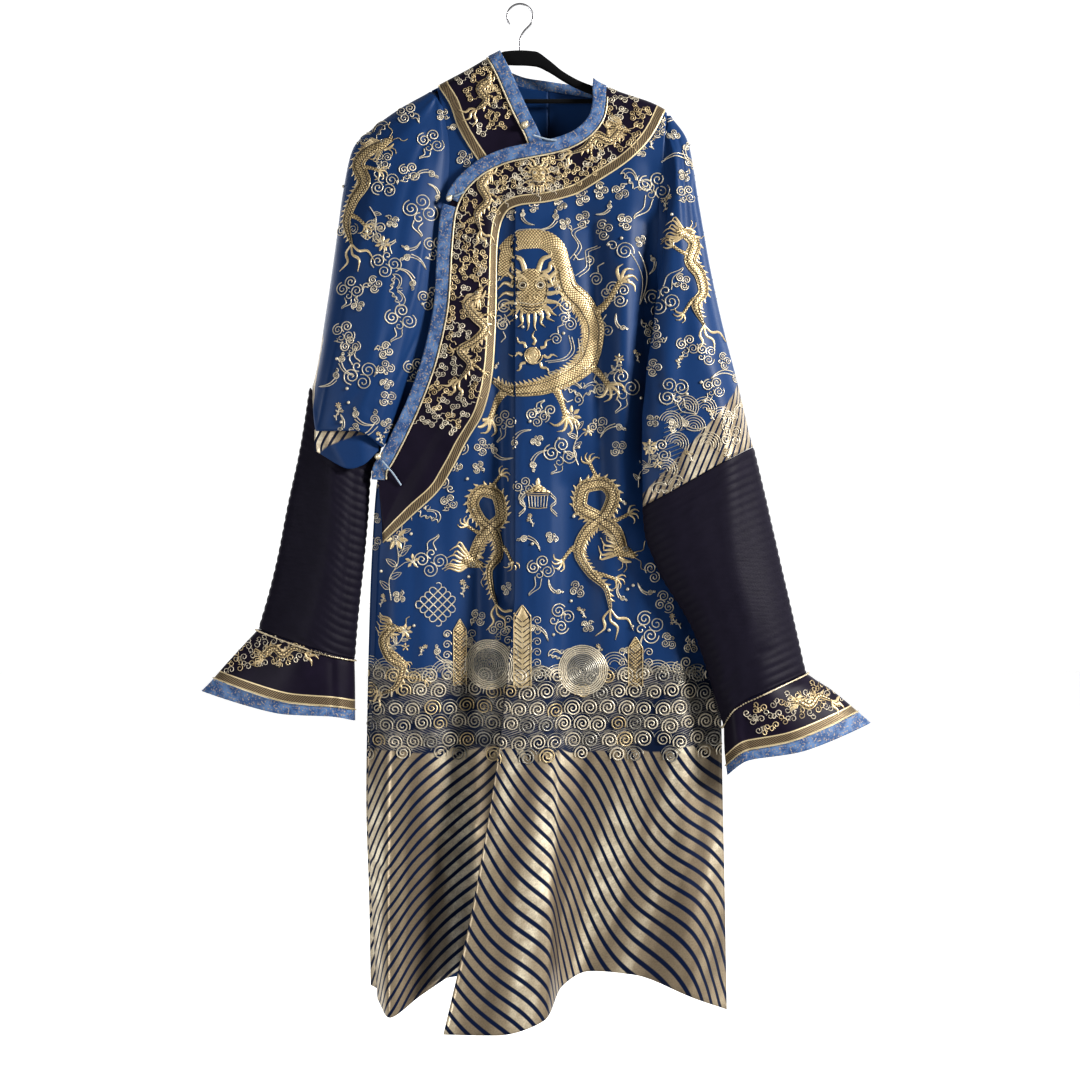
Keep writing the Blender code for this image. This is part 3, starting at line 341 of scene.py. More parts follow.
# %% Lower sleeve and cuff sections
# Lower sleeves: rings of inner edge, front, front crease, outer edge, back crease and back,
# each (x, y, drop).
# The left one also has the back tuck of the sleeve above it, which gives it its first ring.
LOWER_LEFT_ROWS = (
    ((178, -53, 764), (218, -68, 744), (291, -64, 716), (351, -16, 703), (308, -2, 714),
     (243, -29, 738), (181, -44, 764)),
    ((200, -52, 823), (236, -67, 811), (300, -65, 801), (374, -16, 800), (322, 0, 802),
     (258, -28, 812), (203, -43, 822)),
    ((246, -48, 902), (274, -63, 896), (326, -64, 893), (395, -16, 891), (347, 2, 893),
     (296, -24, 897), (250, -39, 901)),
    ((291, -44, 1040), (303, -60, 1014), (344, -62, 991), (412, -16, 966), (368, 4, 984),
     (318, -16, 1010), (293, -35, 1038)),
)
LOWER_RIGHT_ROWS = (
    ((-195, -14, 632), (-226, -29, 622), (-264, -30, 600), (-304.0, -5, 555), (-272.5, 14.2, 590),
     (-230, 17, 615)),
    ((-216, -10, 684), (-236, -27, 678), (-266, -34, 668), (-317, -8, 640), (-276, 13, 664),
     (-240, 11, 676)),
    ((-220, -8, 746), (-240, -27, 742), (-266, -36, 738), (-335, -8, 726), (-284, 15, 736),
     (-246, 13, 742)),
    ((-226, -8, 808), (-246, -28, 806), (-272, -38, 802), (-348, -8, 792), (-294, 16, 800),
     (-254, 14, 805)),
    ((-233, -8, 876), (-254, -29, 872), (-284, -40, 868), (-362, -8, 852), (-308, 17, 865),
     (-264, 15, 871)),
    ((-239, -8, 946), (-262, -30, 940), (-300, -42, 928), (-377, -8, 903), (-322, 18, 922),
     (-276, 16, 936)),
)
# Cuffs: the lower sleeve's last ring, the flaring middle and the brim, at the same stations
CUFF_LEFT_ROWS = (
    ((291, -44, 1041), (303, -61, 1015), (344, -63, 992), (412, -16, 967), (368, 5, 985),
     (318, -15, 1011), (293, -35, 1039)),
    ((292, -44, 1072), (310, -65, 1050), (366, -66, 1030), (452, -17, 994), (392, 8, 1018),
     (328, -14, 1046), (294, -35, 1070)),
    ((296, -44, 1110), (320, -68, 1088), (394, -66, 1076), (505, -18, 1038), (420, 12, 1064),
     (340, -14, 1084), (299, -35, 1108)),
)
CUFF_RIGHT_ROWS = (
    ((-239, -8, 947), (-262, -31, 941), (-300, -43, 929), (-378, -8, 904), (-322, 19, 923),
     (-276, 17, 937)),
    ((-238.5, -8, 990), (-264, -35, 986), (-316, -45, 975), (-412, -8, 940), (-342, 22, 962),
     (-284, 20, 978)),
    ((-238, -8, 1036), (-266, -38, 1028), (-336, -44, 1024), (-460, -9, 993), (-372, 24, 1012),
     (-294, 22, 1024)),
)

# %% [markdown]
# ## Hanger, buttons and loops
# The hanger's arms are a bar whose top edge and height change along it.

# %% Hanger, buttons and loops
# Hanger: outline stations along the arms: (x, top drop, height of the wood there)
HANGER_ARMS = ((-206, 186.5, 9), (-174, 154, 13), (-128, 129.5, 13), (-77, 101, 14), (-46, 84, 16),
               (-22, 67, 20), (0, 65.5, 22), (22, 67, 22), (41, 79, 18), (62, 96, 14), (87, 110, 13),
               (116, 121, 13), (161, 138, 13), (188, 147, 12), (209, 161.5, 9))
BAR_LEFT, BAR_RIGHT, BAR_HEIGHT = -116.0, 121.0, 6.0
# Shank of the hook from the hanger's head to the ring: (x, drop)
HOOK_SHANK = ((0, 65.1), (0, 58), (0, 51), (2.5, 43.5), (7, 36.5))

# Ball buttons: name, x, drop, radius, distance of the centre from the front surface
BUTTONS = (("neck", 7, 180, 5.5, 10.4), ("chest", -101, 287, 4.5, 9.6),
           ("underarm", -203, 656, 4.8, 9.9))
# Cord loops: name, route of (x, drop, distance from the front surface)
LOOPS = (("neck", ((20, 196, 8.0), (30, 199, 6.9), (42, 202, 6.8), (53, 203, 6.8))),
         ("chest", ((-94, 284, 8.1), (-87, 281, 8.35), (-79, 277, 8.35))),
         ("underarm", ((-197, 662, 7.4), (-190, 670, 8.2), (-183, 678, 9.2), (-176, 688, 6.0),
                       (-170, 697, 4.8))))
LOOP_RADIUS = 1.6
print("fold lines:", len(FRONT_FOLDS) + len(OVERLAP_FOLDS) + len(UNDER_FOLDS) + len(BACK_FOLDS))

# %% [markdown]
# ## Reading the tables smoothly
# A table gives a few heights only. The reader below joins its rows by a curve that never swings
# past them, so that a fold can't grow a bump that the maker didn't ask for.

# %% Smooth readers
def smooth(knots, values, at):
    """Read a table by a smooth curve that never overshoots its rows."""
    knots, values = np.asarray(knots, float), np.asarray(values, float)
    step = np.diff(knots)
    rise = np.diff(values) / step
    product = rise[:-1] * rise[1:]
    total = np.where(product > 0, rise[:-1] + rise[1:], 1.0)
    slope = np.concatenate(([rise[0]], np.where(product > 0, 2 * product / total, 0.0), [rise[-1]]))
    at = np.clip(at, knots[0], knots[-1])
    i = np.clip(np.searchsorted(knots, at, side="right") - 1, 0, len(step) - 1)
    t = (at - knots[i]) / step[i]
    return (values[i] * (1 + 2 * t) * (1 - t) ** 2 + slope[i] * step[i] * t * (1 - t) ** 2
            + values[i + 1] * t * t * (3 - 2 * t) + slope[i + 1] * step[i] * t * t * (t - 1))


def along(points, at):
    """Points at places 0 to 1 along a smooth path through the given points."""
    points = np.asarray(points, float)
    knots = np.concatenate(([0], np.cumsum(np.linalg.norm(np.diff(points, axis=0), axis=1))))
    at = np.asarray(at) * knots[-1]
    return np.stack([smooth(knots, column, at) for column in points.T], axis=-1)


def curve(points, count):
    """A smooth route through points, with so many points of its own."""
    return along(points, np.linspace(0, 1, count))


def cap(x, drop):
    """0 on the shoulder ridge, 1 where the cloth hangs straight below it."""
    below = np.clip((drop - smooth(*zip(*RIDGE), x)) / RIDGE_RADIUS, 0, 1)
    return np.sqrt(1 - (1 - below) ** 2)


def fold_depth(drops, folds, x, drop):
    """Depth of a panel at any x and drop, read across its fold lines."""
    x, drop = np.broadcast_arrays(np.asarray(x, float), np.asarray(drop, float))
    lines = np.stack([smooth(drops, fold[1], drop) for fold in folds])
    depths = np.stack([smooth(drops, fold[2], drop) for fold in folds])
    step = np.diff(lines, axis=0)
    rise = np.diff(depths, axis=0) / step
    product = rise[:-1] * rise[1:]
    total = np.where(product > 0, rise[:-1] + rise[1:], 1.0)
    slope = np.concatenate((rise[:1], np.where(product > 0, 2 * product / total, 0.0), rise[-1:]))
    at = np.clip(x, lines[0], lines[-1])
    i = np.clip((at >= lines).sum(axis=0) - 1, 0, len(folds) - 2)[None]
    low, high = np.take_along_axis(lines, i, 0)[0], np.take_along_axis(lines, i + 1, 0)[0]
    y0, y1 = np.take_along_axis(depths, i, 0)[0], np.take_along_axis(depths, i + 1, 0)[0]
    m0, m1 = np.take_along_axis(slope, i, 0)[0], np.take_along_axis(slope, i + 1, 0)[0]
    width = high - low
    t = (at - low) / width
    return (y0 * (1 + 2 * t) * (1 - t) ** 2 + m0 * width * t * (1 - t) ** 2
            + y1 * t * t * (3 - 2 * t) + m1 * width * t * t * (t - 1))


print("ridge at the hook:", float(smooth(*zip(*RIDGE), 0.0)), "mm down")

# %% [markdown]
# ## Finishes
# Every finish is a small chain of shader nodes. The cloth ones read the piece's own flat
# coordinates in metres, as if the piece were still on the cutting table, so that a woven
# stripe follows the cloth into its folds. Sums are written as plain sums and become nodes.

# %% Helpers for nodes
def feed(tree, node, values):
    """Link or set a node's inputs, by name or number. A colour is three numbers."""
    for label, value in values.items():
        socket = node.inputs[label]
        if isinstance(value, Tone):
            value = value.socket
        if isinstance(value, bpy.types.NodeSocket):
            tree.links.new(value, socket)
        else:
            socket.default_value = (*value, 1.0) if isinstance(value, tuple) else value


def step_of(tree, kind, values, **settings):
    """A new node in a tree, with its inputs linked or set. Returns its outputs."""
    made = tree.nodes.new(kind)
    for key, value in settings.items():
        setattr(made, key, value)
    feed(tree, made, values)
    return made.outputs


class Tone:
    """A value in a tree of nodes. A sum on it adds a node and gives a new value."""

    def __init__(self, tree, kind, values, output=0, **settings):
        self.tree, self.socket = tree, step_of(tree, kind, values, **settings)[output]

    def reckon(self, operation, *values, clamp=False):
        return Tone(self.tree, "ShaderNodeMath", dict(enumerate(values)), operation=operation,
                    use_clamp=clamp)

    def __add__(self, other):
        return self.reckon("ADD", self, other)

    def __sub__(self, other):
        return self.reckon("SUBTRACT", self, other)

    def __rsub__(self, other):
        return self.reckon("SUBTRACT", other, self)

    def __mul__(self, other):
        return self.reckon("MULTIPLY", self, other)

    def __truediv__(self, other):
        return self.reckon("DIVIDE", self, other)

    def __abs__(self):
        return self.reckon("ABSOLUTE", self)

    def sine(self):
        return self.reckon("SINE", self)

    def greater(self, other):
        return self.reckon("MAXIMUM", self, other)

    def step(self, start, width):
        """0 below start, 1 above start + width."""
        return self.reckon("MULTIPLY", self - start, 1 / width, clamp=True)

    def stripes(self, pitch, share, soft=0.08):
        """1 on stripes that take this share of each pitch."""
        away = abs(self.reckon("FRACT", self * (1 / pitch)) - 0.5)
        return 1.0 - away.step(share / 2 - soft / 2, soft)

    def blend(self, first, second):
        """The first colour at 0 and the second at 1."""
        return Tone(self.tree, "ShaderNodeMix", {0: self, 6: first, 7: second}, 2,
                    data_type="RGBA")

    def part(self, which):
        """One number of a vector."""
        return Tone(self.tree, "ShaderNodeSeparateXYZ", {0: self}, which)

    def noise(self, scale, detail=2.0, rough=0.5):
        """Soft noise at the places that a vector gives."""
        return Tone(self.tree, "ShaderNodeTexNoise", {"Vector": self, "Scale": scale,
                                                      "Detail": detail, "Roughness": rough})


print("helpers for nodes: feed, step_of and Tone")

# %% [markdown]
# ## A finish while it is made
# A dye holds the nodes of one finish. It gives the piece's flat layout or its place, and at
# the end it sets the surface: bumps, colour, roughness, metal and sheen.

# %% A finish while it is made
class Dye:
    """The nodes of one finish."""

    def __init__(self, name):
        self.finish = bpy.data.materials.new(name)
        self.finish.use_nodes = True
        self.tree = self.finish.node_tree
        self.shader = self.tree.nodes["Principled BSDF"]

    def flat(self):
        """The piece's flat coordinates in metres: across, down, and both as a vector."""
        layout = Tone(self.tree, "ShaderNodeUVMap", {}, uv_map="flat")
        return layout.part(0), layout.part(1), layout

    def place(self):
        return Tone(self.tree, "ShaderNodeTexCoord", {}, "Object")

    def bump(self, height, strength, reach):
        normal = Tone(self.tree, "ShaderNodeBump",
                      {"Strength": strength, "Distance": reach, "Height": height})
        feed(self.tree, self.shader, {"Normal": normal})

    def done(self, colour, rough, metal=0.0, sheen=0.0, specular=0.5):
        feed(self.tree, self.shader,
             {"Base Color": colour, "Roughness": rough, "Metallic": metal,
              "Sheen Weight": sheen, "Specular IOR Level": specular})
        return self.finish


print("flat layouts are in metres, places in metres from the hook")

# %% [markdown]
# ## Blue silk with gold hem stripes
# The body is woven in blue satin. From the knee down the weaver throws in gold weft in slanting
# stripes that sway a little and stand for deep water. They are mirrored at the front opening:
# each panel counts its width outward from there. On the sleeves they run along the lower edge.

# %% Blue silk
HEM_STRIPES_FROM = 1.097    # metres below the hook
GOLD_SHARE = 0.65           # of each stripe's pitch
WEFT_PITCH = 0.0016
INK = (0.002, 0.008, 0.032)
DEEP_BLUES = (0.007, 0.024, 0.076), (0.012, 0.042, 0.130)
BLUE_GLINT = (0.013, 0.056, 0.168)
# Painted shade of the gold weft in upright bands along the folds, and its painted highlight
SHADED_GOLD_BANDS = (0.23, 0.185, 0.13), (0.46, 0.38, 0.268)
LIT_GOLD, DULL_GOLD = (1.0, 0.91, 0.71), (0.075, 0.055, 0.036)


def blue_silk(name, gate_of, lean=0.96, pitch=0.0197, waves=0.0, sway=0.0):
    """Blue satin, with gold stripes of this lean and pitch where the gate is open. gate_of is
    given the distances across and down, and the layout."""
    dye = Dye(name)
    across, down, layout = dye.flat()
    gate = gate_of(across, down, layout)
    swing = (across * 25.0 + down * 3.0).sine()
    slope = swing * sway + (down - across * lean) + layout.noise(3.2, 1.0) * 0.045
    gold = slope.stripes(pitch, GOLD_SHARE, 0.07) * gate
    weft = down.stripes(WEFT_PITCH, 0.5, 0.3)
    glint = layout.noise(420.0, 3.0, 0.7)
    deep = layout.noise(5.0, 3.0).blend(*DEEP_BLUES)
    blue = (glint * 0.35).blend(deep, BLUE_GLINT)
    water = gate.blend(wave_field(blue, across, down, layout, waves), INK)
    # Painted light on the gold: upright bands of painted shade along the folds, and small patches of
    # painted highlight on the lighter bands.
    fold_light_bands = Tone(dye.tree, "ShaderNodeCombineXYZ", {0: across * 15.0, 1: down * 2.6})
    band = fold_light_bands.noise(1.0, 2.0)
    wear_and_shade = band.step(0.36, 0.2).blend(*SHADED_GOLD_BANDS)
    crinkle_glint = layout.noise(38.0, 4.0, 0.6).step(0.44, 0.16)
    pale = ((crinkle_glint * 0.6 + 0.3) * band.step(0.50, 0.12)).blend(wear_and_shade, LIT_GOLD)
    warm = ((weft + glint.step(0.42, 0.2)) * 0.22).blend(pale, DULL_GOLD)
    dye.bump(gold * 0.7 + weft * 0.12 + glint * 0.25, 0.35, 0.0004)
    return dye.done(gold.blend(water, warm), 0.44 - gold * 0.07, gold * 0.5, specular=0.13)


def wave_field(blue, across, down, layout, share):
    """Darker water with silver hatching, between the wave tops and the gold stripes."""
    if not share:
        return blue
    inside = (down + (across * 34.0).sine() * 0.009).step(0.962, 0.004)
    lines = (across * 0.35 + down).stripes(0.0034, 0.42, 0.25)
    silver = lines * layout.noise(21.0, 2.0).step(0.43, 0.12) * share
    water = inside.blend(blue, (0.003, 0.010, 0.034))
    return (silver * inside).blend(water, (0.36, 0.325, 0.27))


def hem_gate(across, down, layout):
    """Open below the waves, with an uneven upper edge."""
    return (down + layout.noise(10.0) * 0.05).step(HEM_STRIPES_FROM, 0.003)


def sleeve_gate(across, down, layout):
    """A wedge of stripes that is tallest at the sleeve's outer fold."""
    outward = across.reckon("MINIMUM", across, 0.40 - across)
    return 1.0 - (down - (outward * 0.40 + 0.012)).step(0.0, 0.003)


def turned_gate(across, down, layout):
    """Stripes only behind the outer fold."""
    return (1.0 - down.step(0.082, 0.003)) * across.step(0.181, 0.002)


BODY_SILK = blue_silk("body_silk", hem_gate, waves=0.65, sway=0.015)
UNDER_SILK = blue_silk("under_silk", hem_gate, 1.3, 0.0215, waves=0.65, sway=0.010)
SLEEVE_SILK = blue_silk("sleeve_silk", sleeve_gate, lean=1.3, pitch=0.0185)
TURNED_SILK = blue_silk("turned_silk", turned_gate, lean=1.3, pitch=0.0185)
print("finishes:", BODY_SILK.name, UNDER_SILK.name, SLEEVE_SILK.name, TURNED_SILK.name)

# %% [markdown]
# ## Lining, navy silk, brocade and ribbed silk
# The yoke and the cuffs are dark navy with a border of gold ribs between two fine gold lines
# along the outer edge. The neck and cuff edges are a pale blue brocade with pink and straw
# flecks. The lower sleeves are almost black, woven with crosswise ribs. The lining is plain.

# %% Lining, navy silk, brocade and ribbed silk
def plain_lining():
    dye = Dye("lining")
    across, down, layout = dye.flat()
    dye.bump(across.stripes(0.0012, 0.5, 0.4) * down.stripes(0.0012, 0.5, 0.4), 0.2, 0.0002)
    blue = layout.noise(12.0).blend((0.005, 0.026, 0.085), (0.009, 0.042, 0.135))
    return dye.done(blue, 0.5, specular=0.12)


def navy_silk(border=0.0145):
    dye = Dye("yoke_navy")
    along_edge, inward, layout = dye.flat()
    inside = 1.0 - inward.step(border, 0.0005)
    outer_line = 1.0 - inward.step(0.0018, 0.0005)
    lines = outer_line.greater(inward.step(border - 0.0019, 0.0004) * inside)
    ribs = (along_edge + inward).stripes(0.0034, 0.62, 0.2)
    gold = lines.greater(ribs * inside * 0.8)
    grain = layout.noise(500.0, 3.0)
    ground = layout.noise(30.0).blend((0.006, 0.0045, 0.011), (0.014, 0.010, 0.023))
    brown = grain.blend((0.12, 0.085, 0.045), (0.36, 0.28, 0.16))
    dye.bump(gold + grain * 0.4, 0.4, 0.0004)
    return dye.done(gold.blend(ground, lines.blend(brown, (0.60, 0.50, 0.31))), 0.45,
                    gold * 0.45, specular=0.1)


def edging_brocade():
    dye = Dye("edging_brocade")
    along_edge, inward, layout = dye.flat()
    fleck = layout.noise(330.0, 3.0, 0.6)
    weave = (along_edge + inward).stripes(0.0022, 0.55, 0.3)
    vine = layout.noise(60.0, 2.0).step(0.42, 0.2)
    pink = fleck.step(0.54, 0.05).blend(vine.blend((0.028, 0.075, 0.19), (0.11, 0.20, 0.37)),
                                        (0.24, 0.20, 0.20))
    straw = fleck.step(0.61, 0.04)
    colour = (weave * 0.25).blend(straw.blend(pink, (0.42, 0.35, 0.25)), (0.06, 0.10, 0.20))
    dye.bump(fleck + weave * 0.3, 0.5, 0.0005)
    return dye.done(colour, 0.5, straw * 0.3, specular=0.15)


def ribbed_silk():
    dye = Dye("ribbed_weave")
    _, down, layout = dye.flat()
    cord = down.stripes(0.0016, 0.55, 0.4)
    grain = layout.noise(60.0, 3.0)
    black = grain.blend((0.0035, 0.003, 0.007), (0.010, 0.0085, 0.017))
    dye.bump(cord + grain * 0.5, 0.3, 0.0003)
    return dye.done((cord * 0.35).blend(black, (0.028, 0.024, 0.04)), 0.5, specular=0.07)


LINING, NAVY, BROCADE, RIBBED = plain_lining(), navy_silk(), edging_brocade(), ribbed_silk()
print("finishes:", LINING.name, NAVY.name, BROCADE.name, RIBBED.name)

# %% [markdown]
# ## Threads, cords, metal and velvet
# Gold thread is gilt paper wound on silk, so it glints unevenly. Dragon scales are laid in
# a tan gold with darker lines between them: two crossing sets of slanting lines make the scales.

# %% Threads, cords, metal and velvet
SCALE_PITCH = 0.0042


def wound_thread(name, dark, light, metal, fine=900.0):
    """Thread between two colours. fine is the scale of its grain."""
    dye = Dye(name)
    grain = dye.place().noise(fine, 2.0)
    tone = grain * 0.6 + dye.place().noise(40.0, 2.0) * 0.45
    dye.bump(grain, 0.3, 0.0003)
    return dye.done(tone.step(0.3, 0.45).blend(dark, light), 0.38, metal)


def scale_gold():
    """Tan gold in small scales, from two crossing sets of slanting lines."""
    dye = Dye("scale_gold")
    along_body, across_body, _ = dye.flat()
    slant = across_body * 0.8
    rising = (along_body + slant).stripes(SCALE_PITCH, 0.72, 0.2)
    scales = rising * (along_body - slant).stripes(SCALE_PITCH, 0.72, 0.2)
    light = dye.place().noise(350.0, 3.0).blend((0.40, 0.285, 0.13), (0.88, 0.72, 0.43))
    dye.bump(scales, 0.6, 0.0005)
    return dye.done(scales.blend((0.075, 0.045, 0.02), light), 0.4, 0.5)


def velvet():
    dye = Dye("hanger_velvet")
    pile = dye.place().noise(1500.0, 2.0)
    wear_and_shade = pile * 0.5 + dye.place().noise(35.0, 3.0) * 0.5
    dye.bump(pile, 0.5, 0.0003)
    return dye.done(wear_and_shade.blend((0.0018, 0.0018, 0.002), (0.0065, 0.0065, 0.0075)), 0.9,
                    sheen=0.05, specular=0.1)


def drawn_wire():
    dye = Dye("hook_wire")
    draw = dye.place().noise(700.0, 3.0)
    dye.bump(draw, 0.1, 0.0001)
    return dye.done(draw.blend((0.5, 0.5, 0.52), (0.72, 0.72, 0.74)), 0.27, 1.0)


def loop_cotton():
    dye = Dye("loop_cotton")
    fibre = dye.place().noise(1100.0, 3.0)
    dye.bump(fibre, 0.6, 0.0004)
    return dye.done(fibre.blend((0.16, 0.22, 0.30), (0.42, 0.50, 0.58)), 0.7, sheen=0.2)


def floor_paper():
    """White paper behind the robe, which glows there as painted light, and grey in front of it, so that
    the folds keep their shade.
    """
    dye = Dye("floor_paper")
    behind = dye.place().part(1).step(-0.5, 0.8)
    # Painted light: the floor behind the robe glows, though it is no lamp.
    feed(dye.tree, dye.shader, {"Emission Color": (1, 1, 1), "Emission Strength": behind * 0.46})
    white = dye.place().noise(3.0).blend((0.80, 0.80, 0.80), (0.83, 0.83, 0.82))
    return dye.done(behind.blend((0.28, 0.28, 0.28), white), 0.9, specular=0.1)


GOLD = wound_thread("gold_thread", (0.25, 0.175, 0.08), (0.85, 0.70, 0.44), 0.45)
SILVER = wound_thread("silver_thread", (0.28, 0.25, 0.195), (0.80, 0.72, 0.57), 0.3)
GREY = wound_thread("grey_thread", (0.12, 0.115, 0.10), (0.44, 0.42, 0.37), 0.45)
DARK = wound_thread("dark_thread", (0.004, 0.005, 0.012), (0.03, 0.03, 0.045), 0.0)
SCALES = scale_gold()
CORD = wound_thread("piping_gold", (0.34, 0.26, 0.15), (0.88, 0.79, 0.58), 0.3, 600.0)
METAL = wound_thread("button_gilt", (0.55, 0.45, 0.28), (0.95, 0.88, 0.70), 0.6, 400.0)
VELVET, WIRE, LOOP = velvet(), drawn_wire(), loop_cotton()
floor_mesh.materials.append(floor_paper())
print("finishes in all:", len(bpy.data.materials))

# %% [markdown]
# ## Laying cloth out as grids
# Each piece of cloth is a grid of points: an outer face, an inner face a little behind it and
# rims between them, so it is a thin closed wall like real lined cloth. The grid also carries
# flat coordinates, which is what a paper pattern would show.

# %% A wall of cloth from two grids
def arc(grid, axis):
    """Distance along the grid's rows (axis 1) or columns (axis 0), in metres."""
    step = np.linalg.norm(np.diff(grid, axis=axis), axis=2) * MM
    pad = np.zeros_like(np.take(step, [0], axis=axis))
    return np.cumsum(np.concatenate((pad, step), axis=axis), axis=axis)


def wall(name, outer, inner, flat, finishes, closed=False):
    """A closed wall of cloth. flat holds each point's flat coordinates in metres."""
    rows, columns = outer.shape[:2]
    spans = columns if closed else columns - 1
    r, c = np.mgrid[0:rows - 1, 0:spans]
    r, c = r.ravel(), c.ravel()
    beside = (c + 1) % columns
    corners = np.stack((r * columns + c, (r + 1) * columns + c, (r + 1) * columns + beside,
                        r * columns + beside), axis=1)
    places = np.stack((np.stack((r, c), 1), np.stack((r + 1, c), 1), np.stack((r + 1, c + 1), 1),
                       np.stack((r, c + 1), 1)), axis=1)
    deep = rows * columns
    faces, spots, slots = [corners, corners[:, ::-1] + deep], [places, places[:, ::-1]], [0, 1]
    rims = [((0, c2), (0, c2 + 1)) for c2 in range(spans)]
    rims += [((rows - 1, c2 + 1), (rows - 1, c2)) for c2 in range(spans)]
    if not closed:
        rims += [((r2 + 1, 0), (r2, 0)) for r2 in range(rows - 1)]
        rims += [((r2, columns - 1), (r2 + 1, columns - 1)) for r2 in range(rows - 1)]
    edge, edge_spots = [], []
    for (ra, ca), (rb, cb) in rims:
        a, b = ra * columns + ca % columns, rb * columns + cb % columns
        edge.append((b, b + deep, a + deep, a))
        edge_spots.append(((rb, cb), (rb, cb), (ra, ca), (ra, ca)))
    faces.append(np.array(edge))
    spots.append(np.array(edge_spots))
    slots.append(0)
    points = np.concatenate((outer.reshape(-1, 3), inner.reshape(-1, 3))) * MM
    points[:, 2] *= -1
    mesh = bpy.data.meshes.new(name)
    mesh.from_pydata(points.tolist(), [], np.concatenate(faces).tolist())
    spot = np.concatenate(spots).reshape(-1, 2)
    layer = mesh.uv_layers.new(name="flat")
    layer.data.foreach_set("uv", flat[spot[:, 0], spot[:, 1]].astype(np.float32).ravel())
    index = np.concatenate([np.full(len(f), slot, np.int32) for f, slot in zip(faces, slots)])
    for finish in finishes:
        mesh.materials.append(finish)
    mesh.polygons.foreach_set("material_index", np.minimum(index, len(finishes) - 1))
    work = bmesh.new()
    work.from_mesh(mesh)
    if work.calc_volume(signed=True) < 0:
        bmesh.ops.reverse_faces(work, faces=work.faces)
        work.to_mesh(mesh)
    work.free()
    mesh.shade_smooth()
    return show(name, mesh)


SHEETS = []


def hang(piece, node, grid):
    """Put a piece in place of its plain solid and state the cloth it was cut from."""
    across, down = arc(grid, 1)[:, -1].max(), arc(grid, 0)[-1].max()
    cut = np.linalg.norm(np.cross(grid[1:, :-1] - grid[:-1, :-1], grid[:-1, 1:] - grid[:-1, :-1]),
                         axis=2).sum() * MM * MM
    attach(piece, "root")
    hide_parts(node)
    SHEETS.append((piece.name, round(across, 3), round(down, 3), round(cut, 4)))
    return piece


# %% [markdown]
# ## Creases
# Hanging cloth keeps soft marks: long pulls from the shoulders, and faint cross creases from
# folded storage. Each is one row: where it starts and ends (x and drop), its half width, and
# its depth, where a minus stands proud of the front. A slow ripple keeps the rest uneven.

# %% Creases in the body
FRONT_CREASES = (
    (-28, 290, -34, 700, 12, 4.0), (108, 330, 119, 780, 14, 9.0),
    (183, 320, 186, 640, 16, 8.0), (52, 330, 56, 640, 16, -4.0), (148, 380, 150, 700, 14, -4.0),
    (-26, 560, -24, 860, 10, 8.0), (-62, 740, -64, 1010, 16, 9.0),
    (-110, 700, -118, 1000, 16, 6.0), (150, 780, 160, 1100, 15, 6.0), (72, 700, 60, 1050, 16, 5.0),
    (128, 1193, 286, 1281, 7, 1.9), (60, 1212, 140, 1196, 6, 1.2), (-183, 1250, -65, 1186, 7, 2.0),
    (-150, 1258, -60, 1262, 9, -1.3), (20, 1275, 250, 1390, 12, -1.6), (190, 1120, 268, 1160, 8, 1.3),
    (80, 260, 118, 560, 13, 2.2), (160, 210, 150, 520, 14, -2.0), (188, 240, 196, 700, 11, 1.8),
    (60, 300, 58, 640, 9, -1.2), (116, 640, 120, 1000, 13, -1.6), (214, 700, 232, 1080, 13, -2.0),
    (246, 820, 262, 1340, 12, 2.2), (180, 860, 186, 1340, 10, 1.6), (-150, 760, -158, 1130, 9, 1.8),
    (-120, 800, -118, 1150, 8, -1.4), (-84, 620, -92, 1060, 8, 1.6), (-60, 470, -66, 760, 8, -1.3),
    (-174, 900, -186, 1300, 8, -1.5), (-40, 300, -38, 520, 7, 1.2), (36, 1130, 60, 1330, 10, 1.5),
    (8, 640, 14, 900, 6, 0.9), (100, 1290, 196, 1334, 8, 1.2), (-8, 1085, 40, 1096, 8, 0.9))
BACK_CREASES = (
    (-90, 210, -60, 620, 14, 2.0), (150, 220, 120, 640, 14, -2.1), (41, 300, 41, 1300, 5, -1.2),
    (-140, 700, -150, 1240, 12, 1.9), (-30, 640, -26, 1100, 12, -1.8), (100, 640, 104, 1180, 12, 1.8),
    (200, 560, 224, 1260, 13, -2.0), (-170, 1180, -20, 1225, 7, 1.7), (70, 1226, 260, 1192, 7, 1.8),
    (-120, 880, 0, 905, 8, 1.2), (90, 905, 230, 885, 8, 1.2), (60, 420, 190, 470, 9, -1.2))


def creased(creases, x, drop):
    """Push from the creases at any x and drop, with a slow uneven ripple."""
    x, drop = np.broadcast_arrays(np.asarray(x, float), np.asarray(drop, float))
    push = 0.55 * np.sin(x / 21 + np.sin(drop / 130) * 1.4) * np.sin(drop / 86 + x / 140)
    push = push + 0.35 * np.sin(x / 9.5 + drop / 160 + 1.3) * np.sin(drop / 47 + 0.7)
    for x0, drop0, x1, drop1, width, depth in creases:
        dx, dd = x1 - x0, drop1 - drop0
        share = np.clip(((x - x0) * dx + (drop - drop0) * dd) / (dx * dx + dd * dd), 0, 1)
        away = np.hypot(x - x0 - share * dx, drop - drop0 - share * dd)
        push = push + depth * np.exp(-(away / width) ** 2)
    return push


print("creases:", len(FRONT_CREASES), "in front,", len(BACK_CREASES), "behind")

# %% [markdown]
# ## Where the cloth's outer faces lie
# The depth of each panel is read across its fold lines, rounded over the hanger, and then the
# creases are added. Trims ask the same functions, so that they lie in the same creases.

# %% Surfaces of the panels
def left_surface(x, drop):
    depth = fold_depth(FRONT_DROPS, FRONT_FOLDS, x, drop) + creased(FRONT_CREASES, x, drop)
    return depth * cap(x, drop)


def overlap_surface(x, drop):
    return fold_depth(OVERLAP_DROPS, OVERLAP_FOLDS, x, drop) + creased(FRONT_CREASES, x, drop)


